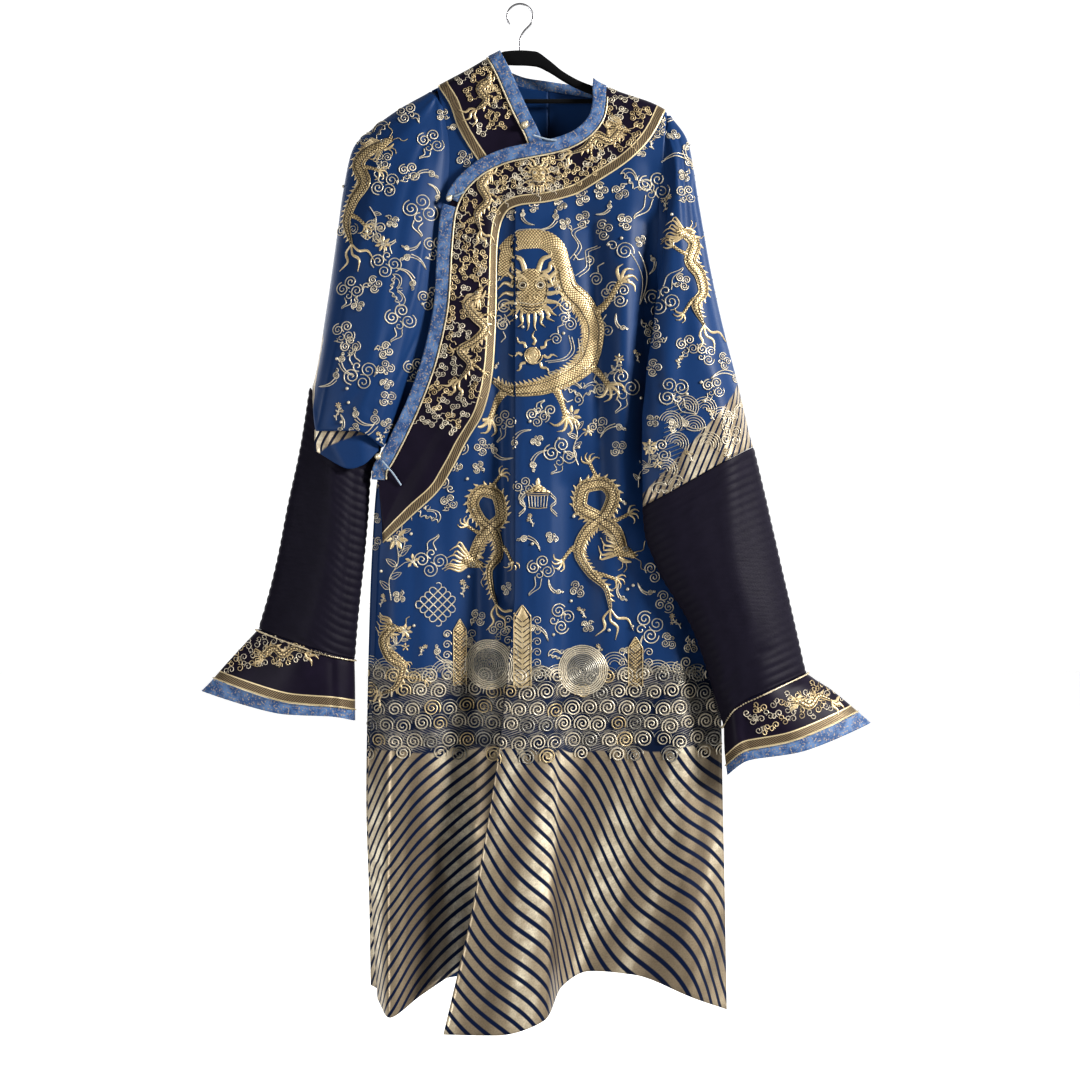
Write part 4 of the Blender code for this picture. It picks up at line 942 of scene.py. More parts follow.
def front_surface(x, drop):
    """Depth of the outer front: the left half, and the overlap half left of its edge."""
    x, drop = np.asarray(x, float), np.asarray(drop, float)
    left_half = fold_depth(FRONT_DROPS, FRONT_FOLDS, np.maximum(x, FRONT_FOLDS[0][1][0]), drop)
    overlap = fold_depth(OVERLAP_DROPS, OVERLAP_FOLDS, x, drop)
    share = np.clip((x + 32) / 22, 0, 1)
    share = share * share * (3 - 2 * share)
    depth = overlap * (1 - share) + left_half * share + creased(FRONT_CREASES, x, drop)
    return depth * cap(x, drop)


def under_surface(x, drop):
    depth = fold_depth(UNDER_DROPS, UNDER_FOLDS, x, drop) + creased(FRONT_CREASES, x, drop)
    return depth * cap(x, drop)


def back_surface(x, drop):
    depth = fold_depth(BACK_DROPS, BACK_FOLDS, x, drop) + creased(BACK_CREASES, x, drop)
    return depth * cap(x, drop)


def keep_on_side(grid, side):
    """Keep a front or a back on its own side of the middle plane."""
    edge = HALF_SEAM * side
    grid[..., 1] = np.minimum(grid[..., 1], edge) if side < 0 else np.maximum(grid[..., 1], edge)


def lay_on(surface, side, x, drop, out):
    """Points on a surface, moved out along its normal. side is -1 for a front and 1 for a back."""
    reach = 0.5
    slope_x = (surface(x + reach, drop) - surface(x - reach, drop)) / (2 * reach)
    slope_drop = (surface(x, drop + reach) - surface(x, drop - reach)) / (2 * reach)
    normal = np.stack((-slope_x, np.ones_like(slope_x), -slope_drop), axis=-1) * side
    normal /= np.linalg.norm(normal, axis=-1, keepdims=True)
    points = np.stack((x, surface(x, drop), drop), axis=-1) + normal * out
    keep_on_side(points, side)
    return points


print("front at the chest:", round(float(front_surface(60.0, 500.0)), 1), "mm")

# %% [markdown]
# ## Grids of points
# A panel's grid runs between its fold lines, from its top edge down to its hem. A strip is a
# grid between paired edge points. A sleeve's grid passes smoothly through its sections.

# %% Normals and top edges
def grid_normals(grid, closed, outward):
    """Unit normals of a grid of points, turned to the outward side."""
    down = np.gradient(grid, axis=0)
    if closed:
        across = (np.roll(grid, -1, axis=1) - np.roll(grid, 1, axis=1)) / 2
    else:
        across = np.gradient(grid, axis=1)
    normal = np.cross(across, down)
    normal /= np.maximum(np.linalg.norm(normal, axis=-1, keepdims=True), 1e-9)
    return normal * outward


def front_top(x):
    return smooth(*zip(*FRONT_TOP), x)


def ridge(x):
    return smooth(*zip(*RIDGE), x)


def under_top(x):
    """Top edge of the under front: the ridge, then its neck edge."""
    return np.where(np.asarray(x) < UNDER_NECK[0][1], ridge(x),
                    smooth([row[1] for row in UNDER_NECK[:6]], [row[0] for row in UNDER_NECK[:6]], x))


def overlap_top(x):
    return np.full_like(x, OVERLAP_DROPS[0])


def back_top(x):
    middle = smooth(*zip(*BACK_NECK), x) + SEAM
    return np.where((np.asarray(x) > BACK_NECK[0][0]) & (np.asarray(x) < BACK_NECK[-1][0]),
                    middle, ridge(x))


print("under front starts at", round(float(under_top(20.0)), 1), "mm")


# %% [markdown]
# ## From tables to grids
# Rows stand closer together near the top edge, where the cloth turns over the hanger.

# %% Panels, strips and sections
NEAR_TOP = np.array([0.0, 2.5, 7.0, 15.0, 30.0])    # the first rows, below a panel's top edge


def panel_points(drops, folds, surface, top, hem, first, last, columns, rows):
    """Grid of a panel between two of its fold lines, from its top edge to its hem."""
    index = np.linspace(first, last, columns)
    order = np.arange(len(folds))

    def line_x(drop):
        lines = np.stack([smooth(drops, fold[1], drop) for fold in folds])
        return np.array([smooth(order, lines[:, column], index[column]) for column in range(columns)])

    start = np.full(columns, float(drops[0]))
    for _ in range(12):
        start = top(line_x(start))
    end = smooth(order, hem, index)
    fall = np.linspace(0, 1, rows - len(NEAR_TOP) + 1)[1:] ** CHEST_CROWDING
    grid = np.empty((rows, columns, 3))
    for row in range(rows):
        if row < len(NEAR_TOP):
            drop = start + NEAR_TOP[row]
        else:
            drop = start + NEAR_TOP[-1] + (end - start - NEAR_TOP[-1]) * fall[row - len(NEAR_TOP)]
        x = line_x(drop)
        grid[row] = np.stack((x, surface(x, drop), drop), axis=-1)
    return grid


def stations(table, start, end, count, crowd_start=False, crowd_end=False):
    """Rows read from a table of stations, closer together where a trim turns over the ridge."""
    share = np.linspace(0, 1, count)
    if crowd_start and crowd_end:
        share = (1 - np.cos(np.pi * share)) / 2
    elif crowd_start:
        share = share ** 1.5
    at = start + (end - start) * share
    order = np.arange(len(table))
    return np.stack([smooth(order, column, at) for column in np.asarray(table, float).T], axis=-1)


def edge_rows(centre, width):
    """Paired edge points either side of a centre line of (x, drop)."""
    direction = np.gradient(centre, axis=0)
    direction /= np.linalg.norm(direction, axis=1, keepdims=True)
    across = np.stack((-direction[:, 1], direction[:, 0]), axis=-1) * width / 2
    return np.hstack((centre - across, centre + across))


def section_grid(table, steps, rows, closed):
    """Smooth grid through sleeve sections: so many steps from each station to the next."""
    table = np.asarray(table, float)
    count, around = table.shape[:2]
    if closed:
        wrapped = np.concatenate((table[:, -2:], table, table[:, :3]), axis=1)
        place, knots = np.arange(around * steps) / steps + 2, np.arange(around + 5)
    else:
        wrapped, knots = table, np.arange(around)
        place = np.arange((around - 1) * steps + 1) / steps
    ring = np.empty((count, len(place), 3))
    for row in range(count):
        for axis in range(3):
            ring[row, :, axis] = smooth(knots, wrapped[row, :, axis], place)
    at = np.linspace(0, count - 1, rows)
    grid = np.empty((rows, len(place), 3))
    for column in range(len(place)):
        for axis in range(3):
            grid[:, column, axis] = smooth(np.arange(count), ring[:, column, axis], at)
    return grid


def ring_below(grid):
    """Stations of a ring just below the sleeve above."""
    ring = grid[-1, 2::2].copy()
    ring[:, 2] += 3 * SEAM
    return ring


print("elbow ring:", len(ring_below(section_grid(SLEEVE_LEFT_ROWS, 2, 13, False))), "stations")

# %% [markdown]
# ## The body panels
# The left front lies over the right one. Each panel's width is counted from the front opening
# or from the back's centre seam, so that the hem stripes mirror there. The wall's inside gets
# the plain lining.

# %% Body panels
BUTTED = 0.01               # half the gap at the centre seam
ANYWHERE = -1e3, 1e3


def body_panel(node, drops, folds, surface, side, top, hem, span, size, from_last, limits):
    """One panel between two fold lines. size is its columns and rows of points."""
    grid = panel_points(drops, folds, surface, top, hem, *span, *size)
    inner = grid - grid_normals(grid, False, -side) * CLOTH
    for layer in (grid, inner):
        keep_on_side(layer, side)
        layer[..., 0] = np.clip(layer[..., 0], *limits)
    across = arc(grid, 1)
    across = across[:, -1:] - across if from_last else across
    flat = np.stack((across, grid[..., 2] * MM), axis=-1)
    silk = UNDER_SILK if node == "front_under" else BODY_SILK
    hang(wall(node + "_cloth", grid, inner, flat, (silk, LINING)), node, grid)


body_panel("front_left", FRONT_DROPS, FRONT_FOLDS, left_surface, -1, front_top, FRONT_HEM,
           (0, 7), (78, 200), False, ANYWHERE)
body_panel("front_overlap", OVERLAP_DROPS, OVERLAP_FOLDS, overlap_surface, -1, overlap_top,
           OVERLAP_HEM, (0, 5), (46, 190), True, ANYWHERE)
body_panel("front_under", UNDER_DROPS, UNDER_FOLDS, under_surface, -1, under_top, UNDER_HEM,
           (0, 3), (30, 180), True, ANYWHERE)
for node, span, from_last, limits in (
        ("back_right", (0, 4), True, (ANYWHERE[0], BACK_SEAM_X - BUTTED)),
        ("back_left", (4, 8), False, (BACK_SEAM_X + BUTTED, ANYWHERE[1]))):
    body_panel(node, BACK_DROPS, BACK_FOLDS, back_surface, 1, back_top, BACK_HEM, span,
               (48, 190), from_last, limits)
print("body panels:", [sheet[:3] for sheet in SHEETS])

# %% [markdown]
# ## Yoke and edgings
# The navy yoke is a shaped band laid on the front from the shoulder round the neck opening and
# down across the chest. A pale brocade edging covers its inner edge. Both are strips between
# paired edge points, laid on the panels' surface and lifted by the layers below them.

# %% How a trim is laid on
def meet_ridge(x, drop, reach=8, near=9):
    """Bring a trim's ends onto the shoulder ridge, and keep the rest below it."""
    for end, step in ((0, 1), (-1, -1)):
        miss = drop[end] - ridge(x[end])
        if np.abs(miss).max() < near:
            for away in range(reach):
                drop[end + step * away] -= miss * (1 - away / reach)
    return np.maximum(drop, ridge(x))


def strip_grid(surface, side, rows, columns, out):
    """Grid between paired edge points, out from the surface by so many millimetres."""
    share = np.linspace(0, 1, columns)[None, :]
    x = rows[:, 0:1] * (1 - share) + rows[:, 2:3] * share
    drop = rows[:, 1:2] * (1 - share) + rows[:, 3:4] * share
    return lay_on(surface, side, x, meet_ridge(x, drop), out)


def trim(node, surface, side, rows, columns, out, finish):
    grid = strip_grid(surface, side, rows, columns, out + CLOTH)
    across = arc(grid, 1)
    along_edge = arc(grid, 0)[:, columns // 2][:, None] + 0 * across
    flat = np.stack((along_edge, across[:, -1:] - across), axis=-1)
    piece = wall(node + "_cloth", grid, strip_grid(surface, side, rows, columns, out), flat, (finish,))
    return hang(piece, node, grid)


OVER = YOKE_GAP + CLOTH + EDGING_GAP      # an edging's inner face, out from the panel
print("an edging lies", round(OVER, 2), "mm out from the panel")

# %% [markdown]
# ## The yokes and their edgings
# The long edging is in two lengths that part at the neck button. The back has a small yoke and
# an edging along its neck. Each strip gets its own even run of points.

# %% Yokes and edgings
LAST = len(YOKE_OVERLAP) - 1
YOKE_COLUMNS, EDGING_COLUMNS = 20, 9
yoke_rows = stations(YOKE_OVERLAP, 0, LAST, 260, True)
trim("yoke_overlap", front_surface, -1, yoke_rows, 30, YOKE_GAP, NAVY)
for node, start, end, count, crowd in (("edging_upper", 0.03, EDGING_BREAK, 150, True),
                                       ("edging_lower", EDGING_BREAK + 0.25, LAST, 130, False)):
    line = stations(YOKE_OVERLAP, start, end, count, crowd)[:, :2]
    trim(node, front_surface, -1, edge_rows(line, EDGING_WIDTH), EDGING_COLUMNS, OVER, BROCADE)
under_rows = stations(YOKE_UNDER, 0.04, len(YOKE_UNDER) - 1, 90, True)
trim("yoke_under", under_surface, -1, under_rows, YOKE_COLUMNS, YOKE_GAP, NAVY)
trim("edging_under", under_surface, -1, edge_rows(under_rows[:, :2], EDGING_WIDTH),
     EDGING_COLUMNS, OVER, BROCADE)
back_rows = stations(YOKE_BACK, 0.04, len(YOKE_BACK) - 1.04, 120, True, True)
trim("yoke_back", back_surface, 1, back_rows, YOKE_COLUMNS, YOKE_GAP, NAVY)
neck_x = np.linspace(BACK_NECK[0][0] + 3, BACK_NECK[-1][0] - 3, 60)
neck_low = smooth(*zip(*BACK_NECK), neck_x) + BACK_EDGING_LAP
neck_rows = np.stack((neck_x, neck_low - EDGING_WIDTH, neck_x, neck_low), axis=-1)
trim("edging_back", back_surface, 1, neck_rows, EDGING_COLUMNS, OVER, BROCADE)
print("trims:", len(SHEETS) - 5)

# %% [markdown]
# ## Sleeves
# A sleeve is drawn as sections from the shoulder down, joined smoothly. Its front and back
# edges run beside the body panels down to the underarm. Sleeve creases are given by shares:
# how far round and how far down they start and end, then half width and depth in millimetres.

# %% Creases in the sleeves
LEFT_CREASES = ((0.08, 0.15, 0.07, 0.75, 12, 6.0), (0.30, 0.02, 0.42, 0.80, 9, -2.0),
                (0.42, 0.10, 0.30, 0.95, 9, 2.2), (0.12, 0.45, 0.34, 0.90, 8, 1.8),
                (0.06, 0.62, 0.30, 0.98, 7, -1.6), (0.50, 0.30, 0.55, 0.96, 8, 1.6),
                (0.70, 0.1, 0.62, 0.9, 10, 1.8), (0.84, 0.2, 0.80, 0.95, 10, -1.8))
RIGHT_CREASES = ((0.34, 0.02, 0.40, 0.60, 9, -2.2), (0.26, 0.15, 0.26, 0.92, 9, 2.4),
                 (0.14, 0.50, 0.22, 0.99, 7, -2.0), (0.18, 0.60, 0.36, 0.97, 7, 2.0),
                 (0.44, 0.35, 0.46, 0.97, 8, 1.8), (0.08, 0.72, 0.22, 0.88, 6, 1.6),
                 (0.70, 0.1, 0.64, 0.9, 10, 1.8), (0.86, 0.3, 0.80, 0.95, 10, -2.0))


def crease_grid(grid, closed, side, table, ripple=0.5):
    """Push a sleeve's grid in and out along its normals."""
    rows, columns = grid.shape[:2]
    around = np.linalg.norm(np.diff(grid, axis=1), axis=2).sum(axis=1).mean()
    length = np.linalg.norm(np.diff(grid, axis=0), axis=2).sum(axis=0).mean()
    s = np.linspace(0, 1, columns, endpoint=not closed)[None, :] * around
    t = np.linspace(0, 1, rows)[:, None] * length
    push = ripple * np.sin(2 * np.pi * 3 * s / around + np.sin(t / 60)) * np.sin(t / 41 + 0.8)
    for s0, t0, s1, t1, width, depth in table:
        ds, dt = (s1 - s0) * around, (t1 - t0) * length
        share = ((s - s0 * around) * ds + (t - t0 * length) * dt) / (ds * ds + dt * dt)
        share = np.clip(share, 0, 1)
        away = np.hypot(s - s0 * around - share * ds, t - t0 * length - share * dt)
        push = push - depth * np.exp(-(away / width) ** 2)
    ends = np.clip(np.minimum(t, length - t) / 12, 0, 1)
    if not closed:
        ends = ends * np.clip(np.minimum(s, around - s) / 14, 0, 1)
    return grid + grid_normals(grid, closed, side) * (push * ends)[..., None]


print("sleeve creases:", len(LEFT_CREASES), "left,", len(RIGHT_CREASES), "right")


# %% [markdown]
# ## The upper sleeves
# The left sleeve and the right one differ in their sections, their creases and the panel they
# meet. The right sleeve is turned back at its end, so a short return shows its hatched waves.

# %% Upper sleeves
def tuck_under_panel(grid, column, side, drops, edge_line, surface, last_drop, inward, lap=8):
    """Lay a sleeve's edge a little way under the body panel's edge, down to the underarm."""
    for row in range(len(grid)):
        drop = grid[row, column, 2]
        if drop <= last_drop:
            edge = float(smooth(drops, edge_line, drop))
            share = min(1, (last_drop - drop) / 60)
            x = edge - side * (lap * share - SLEEVE_GAP[side] * (1 - share))
            level = float(surface(x, drop)) + inward * 2.2 * share
            grid[row, column, :2] = x, inward * min(inward * level, -2 * HALF_SEAM)


def upper_sleeve(node, table, rows, side, last_drop, front, front_drops, front_edge, back_edge,
                 creases, finish):
    """One upper sleeve, open along the body, with its edges under the panels' edges."""
    grid = section_grid(table, 12, rows, False)
    tuck_under_panel(grid, 0, side, front_drops, front_edge, front, last_drop, 1)
    tuck_under_panel(grid, -1, side, BACK_DROPS, back_edge, back_surface, last_drop, -1)
    under = grid[0].copy()
    under[:, 0] -= side * 11
    under[:, 1] = np.sign(under[:, 1]) * np.maximum(np.abs(under[:, 1]) - 2.4, 0.3)
    under[:, 2] = np.maximum(under[:, 2], ridge(under[:, 0]) + 3)
    grid = np.concatenate((under[None], grid))
    for column in (1, 2, 3):         # a straight run beside each edge
        share = column / 4
        grid[:, column] = grid[:, 0] * (1 - share) + grid[:, 4] * share
        grid[:, -1 - column] = grid[:, -1] * (1 - share) + grid[:, -5] * share
    grid = crease_grid(grid, False, side, creases)
    up = arc(grid, 0)
    flat = np.stack((arc(grid, 1), up[-1:] - up), axis=-1)
    inner = grid - grid_normals(grid, False, side) * CLOTH
    hang(wall(node + "_cloth", grid, inner, flat, (finish, LINING)), node, grid)


upper_sleeve("sleeve_left", SLEEVE_LEFT_ROWS, 110, 1, UNDERARM_LEFT_DROP, left_surface, FRONT_DROPS,
             FRONT_FOLDS[-1][1], BACK_FOLDS[-1][1], LEFT_CREASES, SLEEVE_SILK)
upper_sleeve("sleeve_right", SLEEVE_RIGHT_ROWS, 120, -1, UNDERARM_RIGHT_DROP, under_surface,
             UNDER_DROPS, UNDER_FOLDS[0][1], BACK_FOLDS[0][1], RIGHT_CREASES, TURNED_SILK)
turned = section_grid(SLEEVE_RETURN_ROWS, 12, 30, False)
turned_inner = turned - grid_normals(turned, False, -1) * CLOTH
turned_flat = np.stack((arc(turned, 1), arc(turned, 0)), axis=-1)
piece = wall("sleeve_right_return_cloth", turned, turned_inner, turned_flat, (SLEEVE_SILK, LINING))
hang(piece, "sleeve_right_return", turned)
print("upper sleeves:", [sheet[:3] for sheet in SHEETS[-3:]])

# %% [markdown]
# ## Node groups that grow what repeats
# Ribs, couched thread, twisted cord and knots all follow one rule each, so each gets a node
# group with named inputs. The helper runs a group once on a piece and keeps the plain mesh.

# %% Helpers for node groups
def new_group(name, inputs):
    """A node group with these inputs, given as rows of label, kind and first value."""
    group = bpy.data.node_groups.new(name, "GeometryNodeTree")
    group.interface.new_socket("Geometry", in_out="INPUT", socket_type="NodeSocketGeometry")
    for label, kind, value in inputs:
        socket = group.interface.new_socket(label, in_out="INPUT", socket_type="NodeSocket" + kind)
        if value is not None:
            socket.default_value = value
    group.interface.new_socket("Geometry", in_out="OUTPUT", socket_type="NodeSocketGeometry")
    given = group.nodes.new("NodeGroupInput").outputs
    return group, given, group.nodes.new("NodeGroupOutput").inputs


def end_of(group, geometry, finish, out):
    """Make what was grown real, and give it its finish."""
    real = step_of(group, "GeometryNodeRealizeInstances", {"Geometry": geometry})[0]
    dyed = step_of(group, "GeometryNodeSetMaterial", {"Geometry": real, "Material": finish})[0]
    group.links.new(dyed, out)


def grow(piece, group, values):
    """Run a node group on a piece once, and keep the result as its plain mesh."""
    modifier = piece.modifiers.new("grow", "NODES")
    modifier.node_group = group
    for item in group.interface.items_tree:
        if item.in_out == "INPUT" and item.name in values:
            modifier[item.identifier] = values[item.name]
    shaped = piece.evaluated_get(bpy.context.evaluated_depsgraph_get())
    solid = bpy.data.meshes.new_from_object(shaped)
    piece.modifiers.remove(modifier)
    solid.shade_smooth()
    piece.data = solid
    return piece


# %% [markdown]
# ## Ribbed lower sleeves and cuffs
# The dark silk is woven with raised ribs every twelve millimetres. The node group pushes the
# outer face out by a rounded wave of the distance down the sleeve, and leaves the lining plain.

# %% Rib group
def read_mark(group, name):
    """A number that the cloth's points carry."""
    return Tone(group, "GeometryNodeInputNamedAttribute", {"Name": name}, data_type="FLOAT")


rib_group, given, out = new_group(
    "crosswise_ribs",
    (("Pitch", "Float", 0.0061), ("Height", "Float", 0.0007), ("Finish", "Material", None)))
turn = read_mark(rib_group, "down_sleeve") / given["Pitch"] * math.pi
rise = abs(turn.sine()) * given["Height"] * read_mark(rib_group, "outer_face")
normal = step_of(rib_group, "GeometryNodeInputNormal", {})[0]
push = step_of(rib_group, "ShaderNodeVectorMath", {0: normal, "Scale": rise}, operation="SCALE")[0]
moved = step_of(rib_group, "GeometryNodeSetPosition",
                {"Geometry": given["Geometry"], "Offset": push})[0]
end_of(rib_group, moved, given["Finish"], out["Geometry"])
print("rib group:", len(rib_group.nodes), "nodes")

# %% [markdown]
# ## The lower sleeves
# Each is a closed tube of the ribbed silk. Its points carry how far down the sleeve they lie
# and whether they are on the outer face, which is what the rib group reads.

# %% Lower sleeves
LOWER_LEFT_CREASES = ((0.36, 0.02, 0.30, 0.86, 7, 2.6), (0.30, 0.86, 0.12, 0.93, 7, 2.0),
                      (0.20, 0.20, 0.22, 0.95, 9, -1.4), (0.46, 0.35, 0.44, 0.98, 9, 1.3),
                      (0.75, 0.1, 0.7, 0.9, 10, 1.8))
LOWER_RIGHT_CREASES = ((0.34, 0.05, 0.36, 0.97, 6, -2.0), (0.42, 0.05, 0.45, 0.97, 8, 1.8),
                       (0.18, 0.1, 0.16, 0.9, 8, 1.6), (0.75, 0.1, 0.7, 0.9, 10, 1.8))


def lower_sleeve(node, table, side, creases):
    """One ribbed tube through its sections."""
    grid = crease_grid(section_grid(table, 7, 250, True), True, side, creases, 0.4)
    inner = grid - grid_normals(grid, True, side) * CLOTH
    wrapped = np.concatenate((grid, grid[:, :1]), axis=1)
    flat = np.stack((arc(wrapped, 1), arc(wrapped, 0)), axis=-1)
    piece = wall(node + "_cloth", grid, inner, flat, (RIBBED,), closed=True)
    for label, values in (("down_sleeve", np.tile(flat[:, :-1, 1].ravel(), 2)),
                          ("outer_face", np.repeat((1.0, 0.0), grid.shape[0] * grid.shape[1]))):
        mark = piece.data.attributes.new(label, "FLOAT", "POINT")
        mark.data.foreach_set("value", values.astype(np.float32))
    grow(piece, rib_group, {"Finish": RIBBED, "Pitch": RIB_PITCH * MM, "Height": RIB_HEIGHT * MM})
    hang(piece, node, wrapped)


left_table = np.concatenate((ring_below(section_grid(SLEEVE_LEFT_ROWS, 2, 13, False))[None],
                             np.asarray(LOWER_LEFT_ROWS, float)))
lower_sleeve("lower_sleeve_left", left_table, 1, LOWER_LEFT_CREASES)
lower_sleeve("lower_sleeve_right", np.asarray(LOWER_RIGHT_ROWS, float), -1, LOWER_RIGHT_CREASES)
print("lower sleeves:", [sheet[:3] for sheet in SHEETS[-2:]])

# %% [markdown]
# ## The cuffs
# Each cuff is one flared tube, cut across into a navy part and a pale brocade edging. The
# lines where the piping and the joining cord run are kept for later.

# %% Cuffs
CUFF_SPLIT = 50             # the row of points where the navy ends and the edging starts
CUFF_CREASES = ((0.20, 0.0, 0.16, 1.0, 8, 1.6), (0.36, 0.0, 0.38, 1.0, 9, -1.5),
                (0.44, 0.2, 0.5, 1.0, 7, 1.2))
CUFF_ROUTES = {}
for name, table, side in (("left", CUFF_LEFT_ROWS, 1), ("right", CUFF_RIGHT_ROWS, -1)):
    grid = crease_grid(section_grid(table, 12, 61, True), True, side, CUFF_CREASES, 0.5)
    inner = grid - grid_normals(grid, True, side) * CLOTH
    wrapped = np.concatenate((grid, grid[:, :1]), axis=1)
    for node, part, finish in (("cuff_" + name, slice(0, CUFF_SPLIT + 1), NAVY),
                               ("cuff_edging_" + name, slice(CUFF_SPLIT, None), BROCADE)):
        outer_part, inner_part, whole = grid[part].copy(), inner[part].copy(), wrapped[part]
        if finish is BROCADE:
            for layer in (outer_part, inner_part):
                layer[0] += (layer[1] - layer[0]) * 0.12
        down = arc(whole, 0)
        flat = np.stack((arc(whole, 1), down[-1:] - down), axis=-1)
        hang(wall(node + "_cloth", outer_part, inner_part, flat, (finish, LINING), closed=True),
             node, whole)
    normals = grid_normals(grid, True, side)
    CUFF_ROUTES[name] = ((grid + normals * (PIPING_RADIUS + 2 * SEAM))[2],
                         (grid + normals * 1.3)[CUFF_SPLIT])
print("cuffs:", [sheet[:3] for sheet in SHEETS[-4:]])

# %% [markdown]
# ## Gold piping and button loops
# Piping is a twisted cord. The node group sweeps a three-lobed section along a line and turns
# it as it goes, so that the lobes lie like the strands of a rope.

# %% Twisted cord
rope_group, given, out = new_group(
    "twisted_cord",
    (("Radius", "Float", 0.0015), ("Strands", "Int", 3), ("Twist", "Float", 900.0),
     ("Finish", "Material", None)))
line = step_of(rope_group, "GeometryNodeMeshToCurve", {"Mesh": given["Geometry"]})[0]
run = Tone(rope_group, "GeometryNodeSplineParameter", {}, "Length")
tilt = run * given["Twist"]
tilted = step_of(rope_group, "GeometryNodeSetCurveTilt", {"Curve": line, "Tilt": tilt})[0]
dip = run.reckon("MULTIPLY", given["Radius"], 0.7)
section = step_of(rope_group, "GeometryNodeCurveStar",
                  {"Points": given["Strands"], "Inner Radius": dip, "Outer Radius": given["Radius"]})[0]
swept = step_of(rope_group, "GeometryNodeCurveToMesh",
                {"Curve": tilted, "Profile Curve": section, "Fill Caps": True})[0]
end_of(rope_group, swept, given["Finish"], out["Geometry"])


def line_mesh(name, route, ring=False):
    """A mesh of edges along a route in millimetres (x, y, drop)."""
    points = np.asarray(route, float) * MM
    points[:, 2] *= -1
    count = len(points)
    edges = [(i, (i + 1) % count) for i in range(count if ring else count - 1)]
    mesh = bpy.data.meshes.new(name)
    mesh.from_pydata(points.tolist(), edges, [])
    return show(name, mesh)


def cord(name, route, radius, finish, node=None, ring=False, strands=3, twist=900.0):
    """A twisted cord along a route, in place of a plain solid or shown as well."""
    piece = grow(line_mesh(name, route, ring), rope_group,
                 {"Radius": radius * MM, "Strands": strands, "Twist": twist, "Finish": finish})
    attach(piece, "root")
    if node:
        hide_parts(node)
    return piece


def even(route, spacing):
    """The same route with points at even spacing."""
    run = np.concatenate(([0], np.cumsum(np.linalg.norm(np.diff(route, axis=0), axis=1))))
    at = np.linspace(0, run[-1], max(int(run[-1] / spacing), 2) + 1)
    return np.stack([np.interp(at, run, column) for column in np.asarray(route).T], axis=-1)


print("cord group:", len(rope_group.nodes), "nodes")

# %% [markdown]
# ## Where the cords run
# Piping lies on either side of each edging and round the top of each cuff. Three short loops
# of cord, sewn to the overlap, hold the buttons.

# %% Piping and loops
JOIN_RADIUS = 0.8
beside = EDGING_WIDTH / 2 + PIPING_RADIUS + 2 * SEAM
paths = (("overlap", front_surface, stations(YOKE_OVERLAP, 1.0, LAST - 0.1, 300)[:, :2], slice(0, 2)),
         ("under", under_surface, under_rows[:, :2], slice(2, 4)))
for name, surface, centre, half in paths:
    edge = even(edge_rows(centre, 2 * beside)[:, half], 1.6)
    route = lay_on(surface, -1, edge[:, 0], edge[:, 1], OVER + PIPING_RADIUS)
    cord("piping_" + name + "_cord", route, PIPING_RADIUS, CORD, "piping_" + name)
for name, (top_line, low_line) in CUFF_ROUTES.items():
    node = "piping_cuff_" + name
    cord(node + "_cord", top_line, PIPING_RADIUS, CORD, node, ring=True)
    cord("cuff_join_" + name, low_line, JOIN_RADIUS, CORD, ring=True)
for name, route in LOOPS:
    fine = curve(route, 40)
    points = [(x, float(front_surface(x, drop)) - out_by, drop) for x, drop, out_by in fine]
    cord("loop_" + name + "_cord", points, LOOP_RADIUS, LOOP, "loop_" + name, twist=1300.0)
print("cords made")

# %% [markdown]
# ## Buttons
# Small gilt balls, cast with a raised net, each with a small round shank. They stay fastened or
# lie where they hang.

# %% Buttons
for name, x, drop, radius, out_by in BUTTONS:
    surface = under_surface if name == "neck" else front_surface
    work = bmesh.new()
    bmesh.ops.create_uvsphere(work, u_segments=32, v_segments=20, radius=1)
    for vert in work.verts:
        way = vert.co.normalized()
        spin, lift = math.atan2(way.x, way.z) * 6, math.asin(max(-1, min(1, way.y))) * 7
        net = 0.5 + 0.5 * math.cos(spin + lift) * math.cos(spin - lift)
        vert.co = way * (0.95 + 0.05 * net)
    shank = bmesh.ops.create_uvsphere(work, u_segments=12, v_segments=8, radius=0.42)["verts"]
    bmesh.ops.translate(work, vec=(0.62, 0.1, 0.78), verts=shank)
    bmesh.ops.scale(work, vec=(radius * MM,) * 3, verts=work.verts)
    centre = Vector((x * MM, (float(surface(x, drop)) - out_by) * MM, -drop * MM))
    bmesh.ops.translate(work, vec=centre, verts=work.verts)
    mesh = bpy.data.meshes.new("button_" + name + "_ball")
    work.to_mesh(mesh)
    work.free()
    mesh.shade_smooth()
    mesh.materials.append(METAL)
    ball = show(mesh.name, mesh)
    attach(ball, "root")
    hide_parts("button_" + name)
print("buttons:", len(BUTTONS))

# %% [markdown]
# ## The hanger
# A slim flocked hanger: a flat moulded bar with rounded edges, bent over the shoulders, a
# straight bar for trousers below it, and a bright wire hook that rises from its head.

# %% The hanger's bars
BAR_SIDES = 20
SQUARENESS = 0.6            # 1 gives a round section, less gives flatter sides


